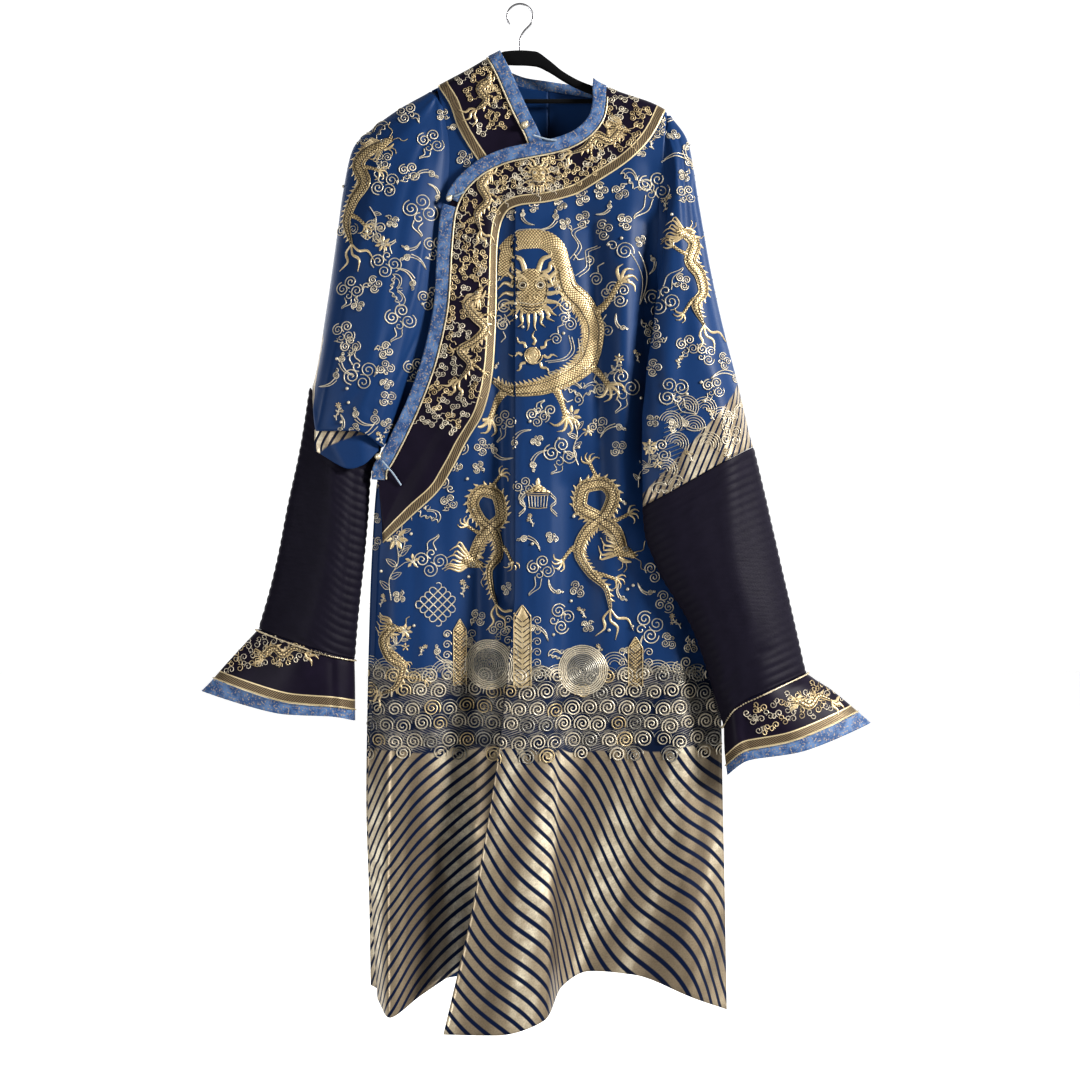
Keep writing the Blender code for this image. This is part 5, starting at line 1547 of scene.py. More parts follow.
def rounded_bar(name, x, top, height, thick, node):
    """A bar of rounded section along x. top and height give its edges at each x."""
    turns = np.linspace(0, 2 * np.pi, BAR_SIDES, endpoint=False)
    across, down = (np.sign(wave) * np.abs(wave) ** SQUARENESS / 2
                    for wave in (np.cos(turns), np.sin(turns)))
    down = 0.5 + down
    points = np.empty((len(x), BAR_SIDES, 3))
    points[..., 0] = x[:, None]
    points[..., 1] = across * thick
    points[..., 2] = top[:, None] + down * height[:, None]
    points *= MM
    points[..., 2] *= -1
    r, c = np.mgrid[0:len(x) - 1, 0:BAR_SIDES]
    r, c = r.ravel() * BAR_SIDES, c.ravel()
    n = (c + 1) % BAR_SIDES
    faces = np.stack((r + c, r + n, r + BAR_SIDES + n, r + BAR_SIDES + c), axis=1).tolist()
    faces += [list(range(BAR_SIDES))[::-1],
              list(range((len(x) - 1) * BAR_SIDES, len(x) * BAR_SIDES))]
    mesh = bpy.data.meshes.new(name)
    mesh.from_pydata(points.reshape(-1, 3).tolist(), [], faces)
    work = bmesh.new()
    work.from_mesh(mesh)
    bmesh.ops.recalc_face_normals(work, faces=work.faces)
    work.to_mesh(mesh)
    work.free()
    mesh.shade_smooth()
    mesh.materials.append(VELVET)
    made = show(name, mesh)
    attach(made, "root")
    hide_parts(node)


arms = np.asarray(HANGER_ARMS, float)
arm_x = np.linspace(arms[0, 0], arms[-1, 0], 140)
arm_top, arm_height = smooth(arms[:, 0], arms[:, 1], arm_x), smooth(arms[:, 0], arms[:, 2], arm_x)
rounded_bar("hanger_arms", arm_x, arm_top, arm_height, HANGER_THICKNESS, "hanger_body")
bar_x = np.linspace(BAR_LEFT, BAR_RIGHT, 30)
under = np.interp((BAR_LEFT, BAR_RIGHT), arm_x, arm_top + arm_height) + SEAM
bar_top = np.interp(bar_x, (BAR_LEFT, BAR_RIGHT), under)
rounded_bar("hanger_trouser_bar", bar_x, bar_top, np.full(len(bar_x), BAR_HEIGHT),
            HANGER_THICKNESS - 2, "hanger_bar")
print("hanger: arms", round(float(arms[-1, 0] - arms[0, 0])), "mm from tip to tip")

# %% [markdown]
# ## The hook
# The wire rises from the hanger's head and bends round into the hook.

# %% The hanger's hook
wire_radius = HOOK_INSIDE_RADIUS + HOOK_WIRE_RADIUS
hook_route = [(x, 0, drop) for x, drop in curve(HOOK_SHANK, 24)]
for degrees in range(140, -130, -5):
    bend = math.radians(degrees)
    hook_route.append((wire_radius * math.sin(bend), 0,
                       HOOK_INSIDE_RADIUS - wire_radius * math.cos(bend)))
hook = bpy.data.curves.new("hook_wire_bend", "CURVE")
hook.dimensions = "3D"
hook.bevel_depth = HOOK_WIRE_RADIUS * MM
hook.bevel_resolution = 4
hook.use_fill_caps = True
spline = hook.splines.new("POLY")
spline.points.add(len(hook_route) - 1)
for knot, (x, y, drop) in zip(spline.points, hook_route):
    knot.co = (x * MM, y * MM, -drop * MM, 1)
hook.materials.append(WIRE)
hook_piece = show("hook_wire_bend", hook)
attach(hook_piece, "root")
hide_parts("hanger_hook")
print("hook: inside radius", HOOK_INSIDE_RADIUS, "mm")

# %% [markdown]
# ## Embroidery: sewing down on the cloth
# The gold work is couched: a thick gilt thread is laid on the cloth and held by tiny stitches.
# Motifs are drawn flat, as x and drop in millimetres, and then dropped straight onto the cloth
# from the front or the back, so that they sink into its folds. A line stops where the cloth
# under it ends. Broad parts, like a dragon's body, are padded bands with a rounded crown.

# %% The cloth under the needle
ALL_CLOTH = [piece for piece in bpy.data.objects if piece.name.endswith("_cloth")]
tree_points, tree_faces, OWNER = [], [], []
for piece in ALL_CLOTH:
    shift = len(tree_points)
    tree_points += [vertex.co.copy() for vertex in piece.data.vertices]
    tree_faces += [[shift + i for i in face.vertices] for face in piece.data.polygons]
    OWNER += [piece.name[:-6]] * len(piece.data.polygons)
CLOTH_TREE = BVHTree.FromPolygons(tree_points, tree_faces)
SLEEVES = {"sleeve_left", "sleeve_right"}
FRONT_GROUND = SLEEVES | {"front_left", "front_overlap", "front_under"}
BACK_GROUND = SLEEVES | {"back_left", "back_right"}
NAVY_GROUND = {"yoke_overlap", "yoke_under", "yoke_back", "cuff_left", "cuff_right"}
SEWN_AS_ONE = {"back_right": "back_left"}   # a motif may cross this seam
BACK_CENTRE = 29.3          # the back's picture is the front's, turned about this x
print("cloth under the needle:", len(ALL_CLOTH), "pieces,", len(OWNER), "faces")

# %% [markdown]
# ## The needle
# It drops each point of a drawing straight onto the cloth and remembers which small cells of
# the field are taken. A band is a strip of small quads, five points across, with its middle
# raised. Where two pieces of cloth meet, lines and bands stop and start again.

# %% A needle that sews flat drawings onto the cloth
CELL = 7                    # side of a cell of the field
START_OFF = 0.4             # a point starts this far out from the middle plane, in metres
ACROSS = -1, -0.6, 0, 0.6, 1    # the points across a band, as shares of half its width
QUAD = (0, 0), (1, 0), (1, 1), (0, 1)


def cell_of(x, drop):
    return int(x // CELL), int(drop // CELL)


class Needle:
    """Sews lines and padded bands down on one side (-1 front, 1 back) of some pieces."""

    def __init__(self, name, side, ground):
        self.name, self.side, self.ground = name, side, ground
        self.lines, self.bands, self.busy = {}, {}, set()

    def find(self, x, drop):
        """Place, normal and piece of cloth under a point of the drawing, or None."""
        cell = cell_of(x, drop)
        x = x if self.side < 0 else 2 * BACK_CENTRE - x
        start = Vector((x * MM, self.side * START_OFF, -drop * MM))
        hit, normal, face, _ = CLOTH_TREE.ray_cast(start, Vector((0, -self.side, 0)))
        if hit is None or OWNER[face] not in self.ground:
            return None
        self.busy.add(cell)
        owner = SEWN_AS_ONE.get(OWNER[face], OWNER[face])
        return hit, normal if normal.y * self.side > 0 else -normal, owner

    def end_run(self, run, finish, radius):
        if len(run) > 1:
            self.lines.setdefault(finish, []).append((run, radius))

    def line(self, points, finish, radius=1.0, spacing=2.7, lift=0.45):
        """Couch a thread along points. It breaks where the cloth changes or steps away."""
        run, last = [], None
        for x, drop in even(np.asarray(points, float), spacing):
            spot = self.find(x, drop)
            if spot is None or (last and (spot[2] != last[2]
                                          or (spot[0] - last[0]).length > 5 * spacing * MM)):
                self.end_run(run, finish, radius)
                run = []
            if spot:
                run.append(spot[0] + spot[1] * (lift * MM))
            last = spot
        self.end_run(run, finish, radius)

    def band(self, points, widths, finish, crown=1.5, spacing=3.4):
        """Sew a padded band along points. It is as wide as widths says and crown high."""
        sewn = self.bands.setdefault(finish, [])
        centre = even(np.asarray(points, float), spacing)
        wide = np.interp(np.linspace(0, 1, len(centre)), np.linspace(0, 1, len(widths)), widths)
        way = np.gradient(centre, axis=0)
        way = way / np.maximum(np.linalg.norm(way, axis=1, keepdims=True), 1e-6)
        rows = []
        for (x, drop), (wx, wd), width in zip(centre, way, wide):
            row = []
            for share in ACROSS:
                spot = self.find(x - wd * width / 2 * share, drop + wx * width / 2 * share)
                rise = (0.2 + crown * (1 - share * share)) * MM
                row.append(spot and (spot[0] + spot[1] * rise, spot[2]))
            rows.append(row)
        for r in range(len(rows) - 1):
            for c in range(len(ACROSS) - 1):
                corners = [rows[r + dr][c + dc] for dr, dc in QUAD]
                if not all(corners) or len({corner[1] for corner in corners}) > 1:
                    continue
                places = [corner[0] for corner in corners]
                reach = max((places[0] - places[2]).length, (places[1] - places[3]).length)
                if reach < (wide[r] + 14) * MM:
                    spots = [((r + dr) * spacing * MM, ACROSS[c + dc] * wide[r] / 2 * MM)
                             for dr, dc in QUAD]
                    sewn.append((places, spots))


print("a needle keeps lines, bands and the cells it has used")

# %% [markdown]
# ## Flat drawings
# Small drawings are made round (0, 0) and then turned, sized and moved into place.

# %% Placing, spirals and rings
def placed(points, x, drop, size=1.0, turn=0.0, flip=1):
    """Turn, size and move a flat drawing. A positive turn is clockwise, in degrees."""
    points = np.asarray(points, float) * (size * flip, size)
    c, s = math.cos(math.radians(turn)), math.sin(math.radians(turn))
    return points @ np.array(((c, s), (-s, c))) + (x, drop)


def spiral(radius, pitch=4.2, start=0.0, hand=1, inner=1.6):
    """A scroll that winds in from its radius. start is in degrees."""
    turns = (radius - inner) / pitch
    share = np.linspace(0, 1, int(turns * 14) + 4)
    reach = radius - (radius - inner) * share
    angle = math.radians(start) + hand * 2 * math.pi * turns * share
    return np.stack((reach * np.cos(angle), reach * np.sin(angle)), axis=-1)


def ring(radius, start=0, end=360):
    """A circle or an arc, in degrees."""
    angle = np.radians(np.linspace(start, end, max(8, int(radius * abs(end - start) / 150))))
    return np.stack((radius * np.cos(angle), radius * np.sin(angle)), axis=-1)


print("a ring of 12 mm has", len(ring(12)), "points")

# %% [markdown]
# ## Motifs
# Each motif is a function that draws round (0, 0) with a pen. They are the traditional
# repertoire of such robes, drawn here from spirals, arcs and a few listed points. The pen
# moves, turns and sizes each drawing, and the needle sews it down.

# %% A pen for motifs
class Pen:
    """Draws with a needle round one place, turned and sized. A flip of -1 mirrors it."""

    def __init__(self, needle, x, drop, size=1.0, turn=0.0, flip=1):
        self.needle, self.size, self.place = needle, size, (x, drop, size, turn, flip)

    def line(self, points, finish=SILVER, radius=1.0, lift=0.45):
        self.needle.line(placed(points, *self.place), finish, radius, lift=lift)

    def band(self, points, widths, crown, tip=None, finish=GOLD):
        """A band whose widths grow with the size, and its tip's width doesn't."""
        wide = [width * self.size for width in widths] + ([tip] if tip else [])
        self.needle.band(placed(points, *self.place), wide, finish, crown)


print("a pen draws in silver thread and gold bands, if it isn't told otherwise")

# %% [markdown]
# ## Small motifs
# Clouds and scrolls have a head of tight scrolls and a tapering tail. Blossoms are rings of
# padded petals. The knot and the parasol are two of the eight lucky signs.

# %% Clouds, bats, blossoms and knots
def ribbon(sway, half, down):
    """The outline of a tapering ribbon round a swaying middle line."""
    return np.concatenate(
        (np.stack((sway - half, down), 1), np.stack((sway + half, down), 1)[::-1]))


def cloud(needle, x, drop, size=1.0, turn=0, flip=1, tail=1.0):
    """Four scrolls and, where tail isn't 0, a ribbon below them."""
    pen = Pen(needle, x, drop, size, turn, flip)
    for cx, cy, radius, start, hand in ((-11, 1, 10.5, 250, -1), (11, 1, 10.5, 290, 1),
                                        (0, -11, 10, 90, 1), (0, 10, 6.5, 270, 1)):
        pen.line(spiral(radius, 4.6, start, hand) + (cx, cy))
    if tail:
        t = np.linspace(0, 1, 24)
        pen.line(ribbon(7 * np.sin(t * 5.2) * t, 5.2 * (1 - t) ** 0.7, 14 + 34 * tail * t))


def comma(needle, x, drop, size=1.0, turn=0, flip=1):
    """One scroll head with a long tapering tail."""
    pen = Pen(needle, x, drop, size, turn, flip)
    t = np.linspace(0, 1, 26)
    pen.line(spiral(12, 4.6, 20, -1))
    pen.line(spiral(7, 4.2, 200, 1) + (-14, -9))
    pen.line(ribbon(12 + 9 * np.sin(t * 3.4), 5.5 * (1 - t) ** 0.8, 2 + 66 * t))


def bat(needle, x, drop, size=1.0, turn=0):
    wing = curve([(1, -3), (9, -11), (20, -15), (31, -9), (33, 2), (27, -3), (22, 6), (16, 0),
                  (11, 10), (6, 6), (1, 14)], 44)
    for flip in (-1, 1):
        pen = Pen(needle, x, drop, size, turn, flip)
        pen.line(wing)
        pen.line(wing * 0.66 + (3, 0), radius=0.7)
        pen.line([(1, -3), (4, -9), (2, -13)], radius=0.7)


def blossom(needle, x, drop, size=1.0, petals=7):
    for i in range(petals):
        petal = Pen(needle, x, drop, size, 360 / petals * i)
        petal.band([(0, -5), (0, -11), (0, -17)], (3, 7.5), 1.1, 1.2)
    Pen(needle, x, drop, size).line(spiral(5, 2.4))


def leaf(needle, x, drop, length, turn):
    half = curve([(0, 0), (0.22, -0.3), (0.16, -0.7), (0, -1)], 12)
    for flip in (-1, 1):
        Pen(needle, x, drop, length, turn, flip).line(half, radius=0.7)
    Pen(needle, x, drop, length, turn).line([(0, 0), (0, -0.8)], radius=0.6)


def sprig(needle, x, drop, size=1.0, turn=0, flip=1):
    """A stem that rises from (x, drop) with leaves and two blossoms."""
    stem = placed(curve([(0, 0), (-4, -22), (5, -46), (0, -72)], 30), x, drop, size, turn, flip)
    needle.line(stem, SILVER, 0.9)
    for i, lean in ((5, -55), (10, 60), (16, -60), (21, 50), (26, -45)):
        leaf(needle, *stem[i], 15 * size, turn + lean * flip)
    blossom(needle, *stem[-1], size * 0.85)
    side = placed([(0, 0), (12, -10), (20, -12)], *stem[14], size, turn, flip)
    needle.line(side, SILVER, 0.8)
    blossom(needle, *side[-1], size * 0.5, 5)


def knot(needle, x, drop, size=1.0):
    """The endless knot: two crossing sets of lines with loops at their ends."""
    reach, bend_radius = 17, 4
    for turn in (45, -45):
        pen = Pen(needle, x, drop, size, turn)
        for at in (-12, -4, 4, 12):
            pen.line([(at, -reach), (at, reach)], radius=1.1)
            pen.line(ring(bend_radius, 180, 360) + (at - 4, -reach), radius=0.9)
            pen.line(ring(bend_radius, 0, 180) + (at - 4, reach), radius=0.9)


def canopy(needle, x, drop, size=1.0):
    """A parasol of honour with two ribbons."""
    pen = Pen(needle, x, drop, size)
    pen.band([(0, -27), (0, -22), (0, -17)], (2, 7, 5), 1.6)
    pen.band([(0, -17), (0, -12), (0, -7)], (9, 22, 36), 2.0, finish=SCALES)
    for level, half in ((-6, 18), (-3, 16), (15, 13)):
        pen.line([(-half, level), (0, level + 1.5), (half, level)], GOLD)
    for rib in range(-12, 13, 4):
        pen.line([(rib * 1.15, -2), (rib, 14)], radius=0.8)
    for flip in (-1, 1):
        for off in (0, 3.6):
            fall = curve([(18, -6 + off), (26, 4 + off), (18, 13 + off), (27, 24 + off)], 16)
            Pen(needle, x, drop, size, 0, flip).line(fall, radius=0.9)


print("small motifs: cloud, comma, bat, blossom, sprig, knot, canopy")

# %% [markdown]
# ## Dragons
# A dragon is a padded band of gold scales along its route, with fins on its back, legs with
# four hooked toes, a flaming tail, and a head seen from the side.

# %% Dragons seen from the side
def dragon_head(needle, x, drop, size, turn, flip):
    pen = Pen(needle, x, drop, size, turn, flip)
    for i, lift in enumerate((-12, -7, -2, 3, 8, 13)):
        mane = curve([(-6, lift * 0.5), (-15, lift), (-24, lift * 1.3 + 3),
                      (-33 + i % 2 * 6, lift * 1.1 - 5)], 16)
        pen.band(mane, (3, 4, 2.4), 1.2, 0.8)
    pen.band([(-12, 0), (-2, -1), (8, -1), (17, 1)], (15, 20, 15, 11, 6), 3.2, finish=SCALES)
    pen.band([(-3, 9), (6, 11), (15, 9)], (5, 6, 2), 1.8)
    for cy in (-10, -6):
        horn = curve([(-4, cy), (-12, cy - 9), (-24, cy - 9), (-30, cy - 15)], 12)
        pen.band(horn, (4, 3.4), 1.5, 1)
    pen.line(ring(3.1) + (2, -4), GREY, 0.9, lift=2.9)
    pen.line(spiral(3.4, 2.2) + (16, -3), GOLD, 0.9, lift=1.8)
    for whisker in ([(15, -5), (24, -12), (22, -22), (28, -28)],
                    [(15, 2), (26, 4), (30, 13), (38, 13)], [(4, 13), (6, 20), (2, 25)],
                    [(9, 13), (12, 19), (10, 25)]):
        pen.line(curve(whisker, 14), GOLD, 0.8)


def claw(needle, route, width):
    """A leg with four hooked toes at its end."""
    bent = curve(route, 18)
    needle.band(bent, (width, width * 0.8, width * 0.55, width * 0.6), SCALES, 1.8)
    way = bent[-1] - bent[-3]
    lean = math.degrees(math.atan2(way[1], way[0]))
    hook = curve([(0, 0), (8, 1), (13, 5), (13, 10)], 12)
    for toe in (-62, -24, 14, 52):
        needle.band(placed(hook, *bent[-1], width / 9, lean + toe),
                    (width * 0.38, width * 0.34, 0.8), GOLD, 1.4)


def dragon(needle, route, width, head, legs, fins):
    """Its route runs from the neck to the tail. head is its size, turn and side, and legs are
    rows of share along the body, x and drop from there. fins says which side its back is."""
    body = even(curve(route, 80), 3.4)
    way = np.gradient(body, axis=0)
    way = way / np.linalg.norm(way, axis=1, keepdims=True)
    across = np.stack((-way[:, 1], way[:, 0]), axis=-1)
    taper = np.interp(np.linspace(0, 1, len(body)), (0, 0.15, 0.5, 0.8, 1),
                      (0.8, 1, 0.95, 0.6, 0.16)) * width
    for share, dx, dd in legs:
        root = body[int(share * (len(body) - 1))]
        claw(needle, [root, root + (dx * 0.45, dd * 0.25), root + (dx, dd)], width * 0.46)
    needle.band(body, taper, SCALES, 2.4)
    for side in (-1, 1):
        needle.line(body + across * (taper * side * 0.5)[:, None], GOLD, 0.8, lift=0.9)
        needle.line(body + across * (taper * side * 0.28)[:, None], DARK, 0.5, lift=2.3)
    for i in range(2, len(body) - 3, 2):
        edge = body[i] - across[i] * taper[i] * 0.5 * fins
        tip = edge - across[i] * 5.6 * fins + way[i] * 4.2
        needle.band([edge, (edge + tip) / 2 + way[i] * 0.6, tip], (4.2, 3, 0.7), GOLD, 0.9, 2.4)
    base = math.degrees(math.atan2(way[-1][1], way[-1][0]))
    flame = curve([(0, 0), (9, 2), (16, -3), (26, 1)], 12)
    for lean in (-38, 0, 38):
        needle.band(placed(flame, *body[-1], width / 11, base + lean), (2.4, 4.2, 0.8), GOLD, 1.2)
    dragon_head(needle, *body[0], *head)


print("side view of a dragon: head, claws, body")


# %% [markdown]
# ## The dragon seen from the front
# Its face is a broad padded band with horns, brows, flaming whiskers and a beard on both sides.
# It looks down on a flaming pearl.

# %% Dragon face and pearl
def face_half(pen, flip):
    """Whiskers, scrolls, beard, horn and brow of one side."""
    for lift, reach in ((-22, 27), (-13, 35), (-4, 38), (5, 37), (14, 34), (23, 28)):
        flame = curve([(12, lift * 0.8), (20, lift), (reach * 0.78, lift * 1.25 - 3),
                       (reach, lift * 1.12 + 4)], 14)
        pen.band(flame, (4.5, 5, 3), 1.5, 0.8)
    for cx, cy, radius, start in ((42, -14, 6.5, 180), (45, 8, 6.5, 180), (36, 32, 6.5, 200)):
        pen.line(spiral(radius, 3.4, start, flip) + (cx, cy))
    for place, fall in ((3, 46), (9, 42), (15, 36)):
        beard = curve([(place, 22), (place * 1.3, 30), (place * 1.1, fall - 5),
                       (place * 1.7, fall)], 10)
        pen.band(beard, (3.6, 3.6), 1.3, 0.8)
    pen.band(curve([(7, -20), (12, -33), (22, -38), (21, -47)], 16), (6, 5), 2, 1.2)
    pen.band(curve([(5, -9), (12, -15), (20, -11), (23, -3)], 16), (3, 6), 2.6, 2)
    pen.line(curve([(8, 16), (20, 24), (30, 18), (42, 26)], 20), GOLD, 0.9)


def dragon_face(needle, x, drop, size=1.0):
    """A dragon's face seen from the front."""
    middle = Pen(needle, x, drop, size)
    halves = [(Pen(needle, x, drop, size, 0, flip), flip) for flip in (-1, 1)]
    for pen, flip in halves:
        face_half(pen, flip)
    middle.band([(0, -22), (0, -12), (0, 0), (0, 10), (0, 20), (0, 27)],
                (16, 33, 38, 34, 33, 22), 2.6, finish=SCALES)
    for pen, flip in halves:
        for radius, finish in ((5.4, GOLD), (3.4, SILVER), (1.3, DARK)):
            pen.line(ring(radius) + (9.5, -4), finish, 1.2, lift=3.0)
        pen.line(ring(19, -60, 60) * (0.9, 1.15), DARK, 0.7, lift=1.2)
        pen.line(spiral(4.2, 2.4, 0, -flip) + (5, 9), GOLD, lift=3.0)
    for level, half in ((15, 13), (18.5, 12), (22, 9)):
        middle.line([(-half, level), (0, level + 2.4), (half, level)],
                    DARK if half < 13 else SILVER, 0.9, lift=2.6)


def flaming_pearl(needle, x, drop, size=1.0):
    pen = Pen(needle, x, drop, size)
    pen.band([(0, -9), (0, 0), (0, 9)], (8, 18, 8), 2.2)
    pen.line(spiral(11, 3), GOLD, lift=1.8)
    flame = curve([(0, -12), (3, -17), (-1, -22), (2, -28)], 10)
    for turn in (0, 45, -45, 90, -90, 135, -135):
        Pen(needle, x, drop, size, turn).band(flame, (3.4, 3), 1.2, 0.7)


print("front view of a dragon: face and pearl")

# %% [markdown]
# ## The front's picture
# A large face-on dragon stands on the chest with its body coiled round it, two more climb the
# skirt, others lie over the shoulders. Clouds, bats and sprigs fill the field. Below, waves roll
# against a rock pillar that stands at the middle of the front.

# %% Places of the front's picture
# Each dragon: route along the body, girth, head (size, turn, side), legs (share, x, drop), fins.
CHEST_DRAGON = (
    ((62, 386), (68, 412), (92, 438), (107, 474), (99, 514), (68, 542), (28, 558), (-8, 562),
     (-44, 542)),
    30, (0.01, 0, 1), ((0.26, 44, -46), (0.5, 34, 30), (0.70, 22, 46), (0.9, -24, 42)), -1)
CHEST_COIL = (-26, 396), (-22, 366), (0, 346), (28, 344), (52, 358), (62, 386)
FIELD_DRAGONS = (
    # beside the slit, one climbing on each panel
    (((148, 792), (138, 764), (112, 744), (86, 726), (92, 700), (118, 694), (134, 712),
      (124, 738), (98, 760), (84, 790), (100, 822), (124, 846), (130, 874)),
     19, (1.1, 20, 1), ((0.14, 34, -12), (0.42, -22, -30), (0.72, -24, 22), (0.84, 36, 8)), 1),
    (((-70, 806), (-60, 780), (-44, 760), (-26, 740), (-32, 712), (-54, 704), (-68, 722),
      (-58, 744), (-36, 766), (-30, 794), (-44, 820), (-40, 850), (-34, 868)),
     17, (1.05, 200, -1), ((0.14, -26, -12), (0.42, 26, -22), (0.72, 20, 26)), -1),
    # over the shoulders and down the outer edges of the sleeves
    (((236, 338), (250, 352), (243, 376), (258, 398), (262, 420), (250, 440), (262, 470)),
     17, (0.9, 200, -1), ((0.25, -26, -12), (0.7, -26, 26)), 1),
    (((-196, 208), (-214, 214), (-232, 236), (-222, 262), (-238, 288), (-248, 320), (-240, 352)),
     18, (0.9, 330, 1), ((0.3, 30, 8), (0.75, 26, 18)), -1),
    # low on the overlap
    (((-182, 902), (-196, 920), (-186, 944), (-168, 958), (-176, 984), (-196, 996)),
     12, (0.75, 10, 1), ((0.3, 30, 20), (0.7, 34, 6)), 1),
)
CHEST_RIBBONS = (
    ((72, 372), (84, 352), (74, 334), (92, 322)), ((80, 396), (96, 380), (94, 360), (112, 352)),
    ((36, 520), (60, 516), (74, 500), (70, 482)), ((40, 536), (70, 528), (86, 508), (84, 486)),
)
# Each scroll on the chest: x, drop, radius, start in degrees, hand.
CHEST_SCROLLS = (
    (66, 440, 13, 180, 1), (72, 466, 11, 180, 1), (60, 418, 9, 150, 1), (-22, 440, 11, 0, -1),
    (-24, 466, 10, 0, -1), (52, 488, 9, 200, 1), (110, 400, 10, 200, 1), (124, 420, 8, 20, 1),
    (100, 372, 8, 100, -1), (116, 560, 10, 160, 1), (44, 590, 9, 90, 1), (84, 574, 8, 90, -1),
    (126, 476, 9, 170, 1),
)
print("dragons on the blue field:", 1 + len(FIELD_DRAGONS))

# %% Chest and skirt dragons
front = Needle("front", -1, FRONT_GROUND)
back = Needle("back", 1, BACK_GROUND)
for needle in (front, back):
    dragon(needle, *CHEST_DRAGON)
    needle.band(curve(CHEST_COIL, 40), (18, 25, 27, 27, 24), SCALES, 2.8)
    for rise in (14, 19):
        rim = (-20 - rise / 2, 384), (0, 350 - rise), (26, 349 - rise), (60 + rise / 2, 378)
        needle.line(curve(rim, 30), SILVER)
    dragon_face(needle, 17, 416, 1.3)
    flaming_pearl(needle, 19, 511, 1.25)
    for points in CHEST_RIBBONS:
        for off in (0, 4.5):
            needle.line(np.asarray(curve(points, 24)) + (off, off * 0.4), SILVER)
    for x, drop, radius, start, hand in CHEST_SCROLLS:
        tail = (0, radius), (4, radius + 8), (-3, radius + 15)
        needle.line(spiral(radius, 4.2, start, hand) + (x, drop), SILVER)
        needle.line(placed(tail, x, drop, 1, start), SILVER)
    for row in FIELD_DRAGONS:
        dragon(needle, *row)
print("dragons sewn")

# %% [markdown]
# ## What fills the field
# The larger clouds are placed one by one. Then small scrolls and sprigs are tried at random
# places, and sewn wherever the cells round them are still empty.

# %% Where the larger motifs go
# Each row: x, drop, size, turn, then side and tail where the motif has them.
CLOUDS = ((193, 268, 1.15, 25, 1, 1.0), (139, 424, 0.95, 60, 1, 0), (203, 432, 1.2, 205, 1, 0.9),
          (146, 556, 1.25, 0, 1, 0.5), (218, 566, 1.1, -35, -1, 0.8), (58, 652, 1.15, 10, 1, 0.4),
          (58, 888, 1.05, 80, 1, 0), (184, 900, 1.15, 70, -1, 0), (30, 816, 0.95, 15, 1, 0.9),
          (196, 650, 0.9, 30, 1, 0.6), (-93, 640, 0.95, 200, 1, 0.7), (-128, 806, 1.15, 185, 1, 0.6),
          (26, 598, 0.8, 190, 1, 0.5), (238, 500, 0.8, 20, 1, 0.3), (112, 610, 0.7, 150, 1, 0),
          (6, 700, 0.75, 10, -1, 0.6), (196, 820, 0.85, 200, 1, 0.5), (120, 330, 0.7, 80, 1, 0),
          (-22, 604, 0.8, 10, 1, 0.8), (216, 750, 0.7, 20, 1, 0.4), (236, 960, 0.85, 15, 1, 0.6),
          (-30, 905, 0.7, 10, 1, 0.3))
SLEEVE_CLOUDS = ((-128, 204, 0.95, 20, 1, 0.5), (-192, 268, 1.0, 150, 1, 0.5),
                 (-247, 330, 0.8, 0, 1, 0), (-242, 418, 0.95, 10, 1, 0.5),
                 (-190, 382, 1.05, 190, 1, 0.6), (-142, 304, 1.2, 10, -1, 0.5),
                 (-120, 356, 0.9, 30, 1, 0.3), (-170, 460, 1.05, 10, 1, 0.6),
                 (-226, 540, 1.15, 160, 1, 0.6), (-196, 232, 0.7, 60, 1, 0),
                 (-158, 250, 0.75, 30, 1, 0.3), (-250, 480, 0.85, 30, 1, 0.2),
                 (-240, 500, 0.7, 0, 1, 0.2), (-130, 430, 0.8, 200, 1, 0.4),
                 (-206, 336, 0.85, 60, 1, 0.3), (-150, 530, 0.85, 20, 1, 0.3),
                 (238, 280, 0.7, 30, 1, 0.2), (275, 560, 0.8, 30, 1, 0.5), (264, 512, 0.8, 60, 1, 0))
COMMAS = (150, 362, 1.15, -8), (-110, 692, 0.85, 190), (-206, 604, 0.6, 60)
BATS = ((168, 262, 0.8, 30), (-136, 734, 0.75, 40), (210, 700, 0.7, -20), (-176, 420, 0.7, 80),
        (90, 560, 0.8, 0), (-212, 190, 0.8, -30), (60, 940, 0.6, 0))
SPRIGS = ((-184, 862, 1.25, 4, 1), (-172, 800, 0.9, 10, -1), (84, 668, 1.0, -8, 1),
          (170, 700, 0.8, 14, 1), (124, 548, 0.5, 30, 1), (-196, 944, 0.7, 40, 1),
          (-214, 300, 0.8, 160, 1))
print("motifs placed by hand:", sum(map(len, (CLOUDS, SLEEVE_CLOUDS, COMMAS, BATS, SPRIGS))))

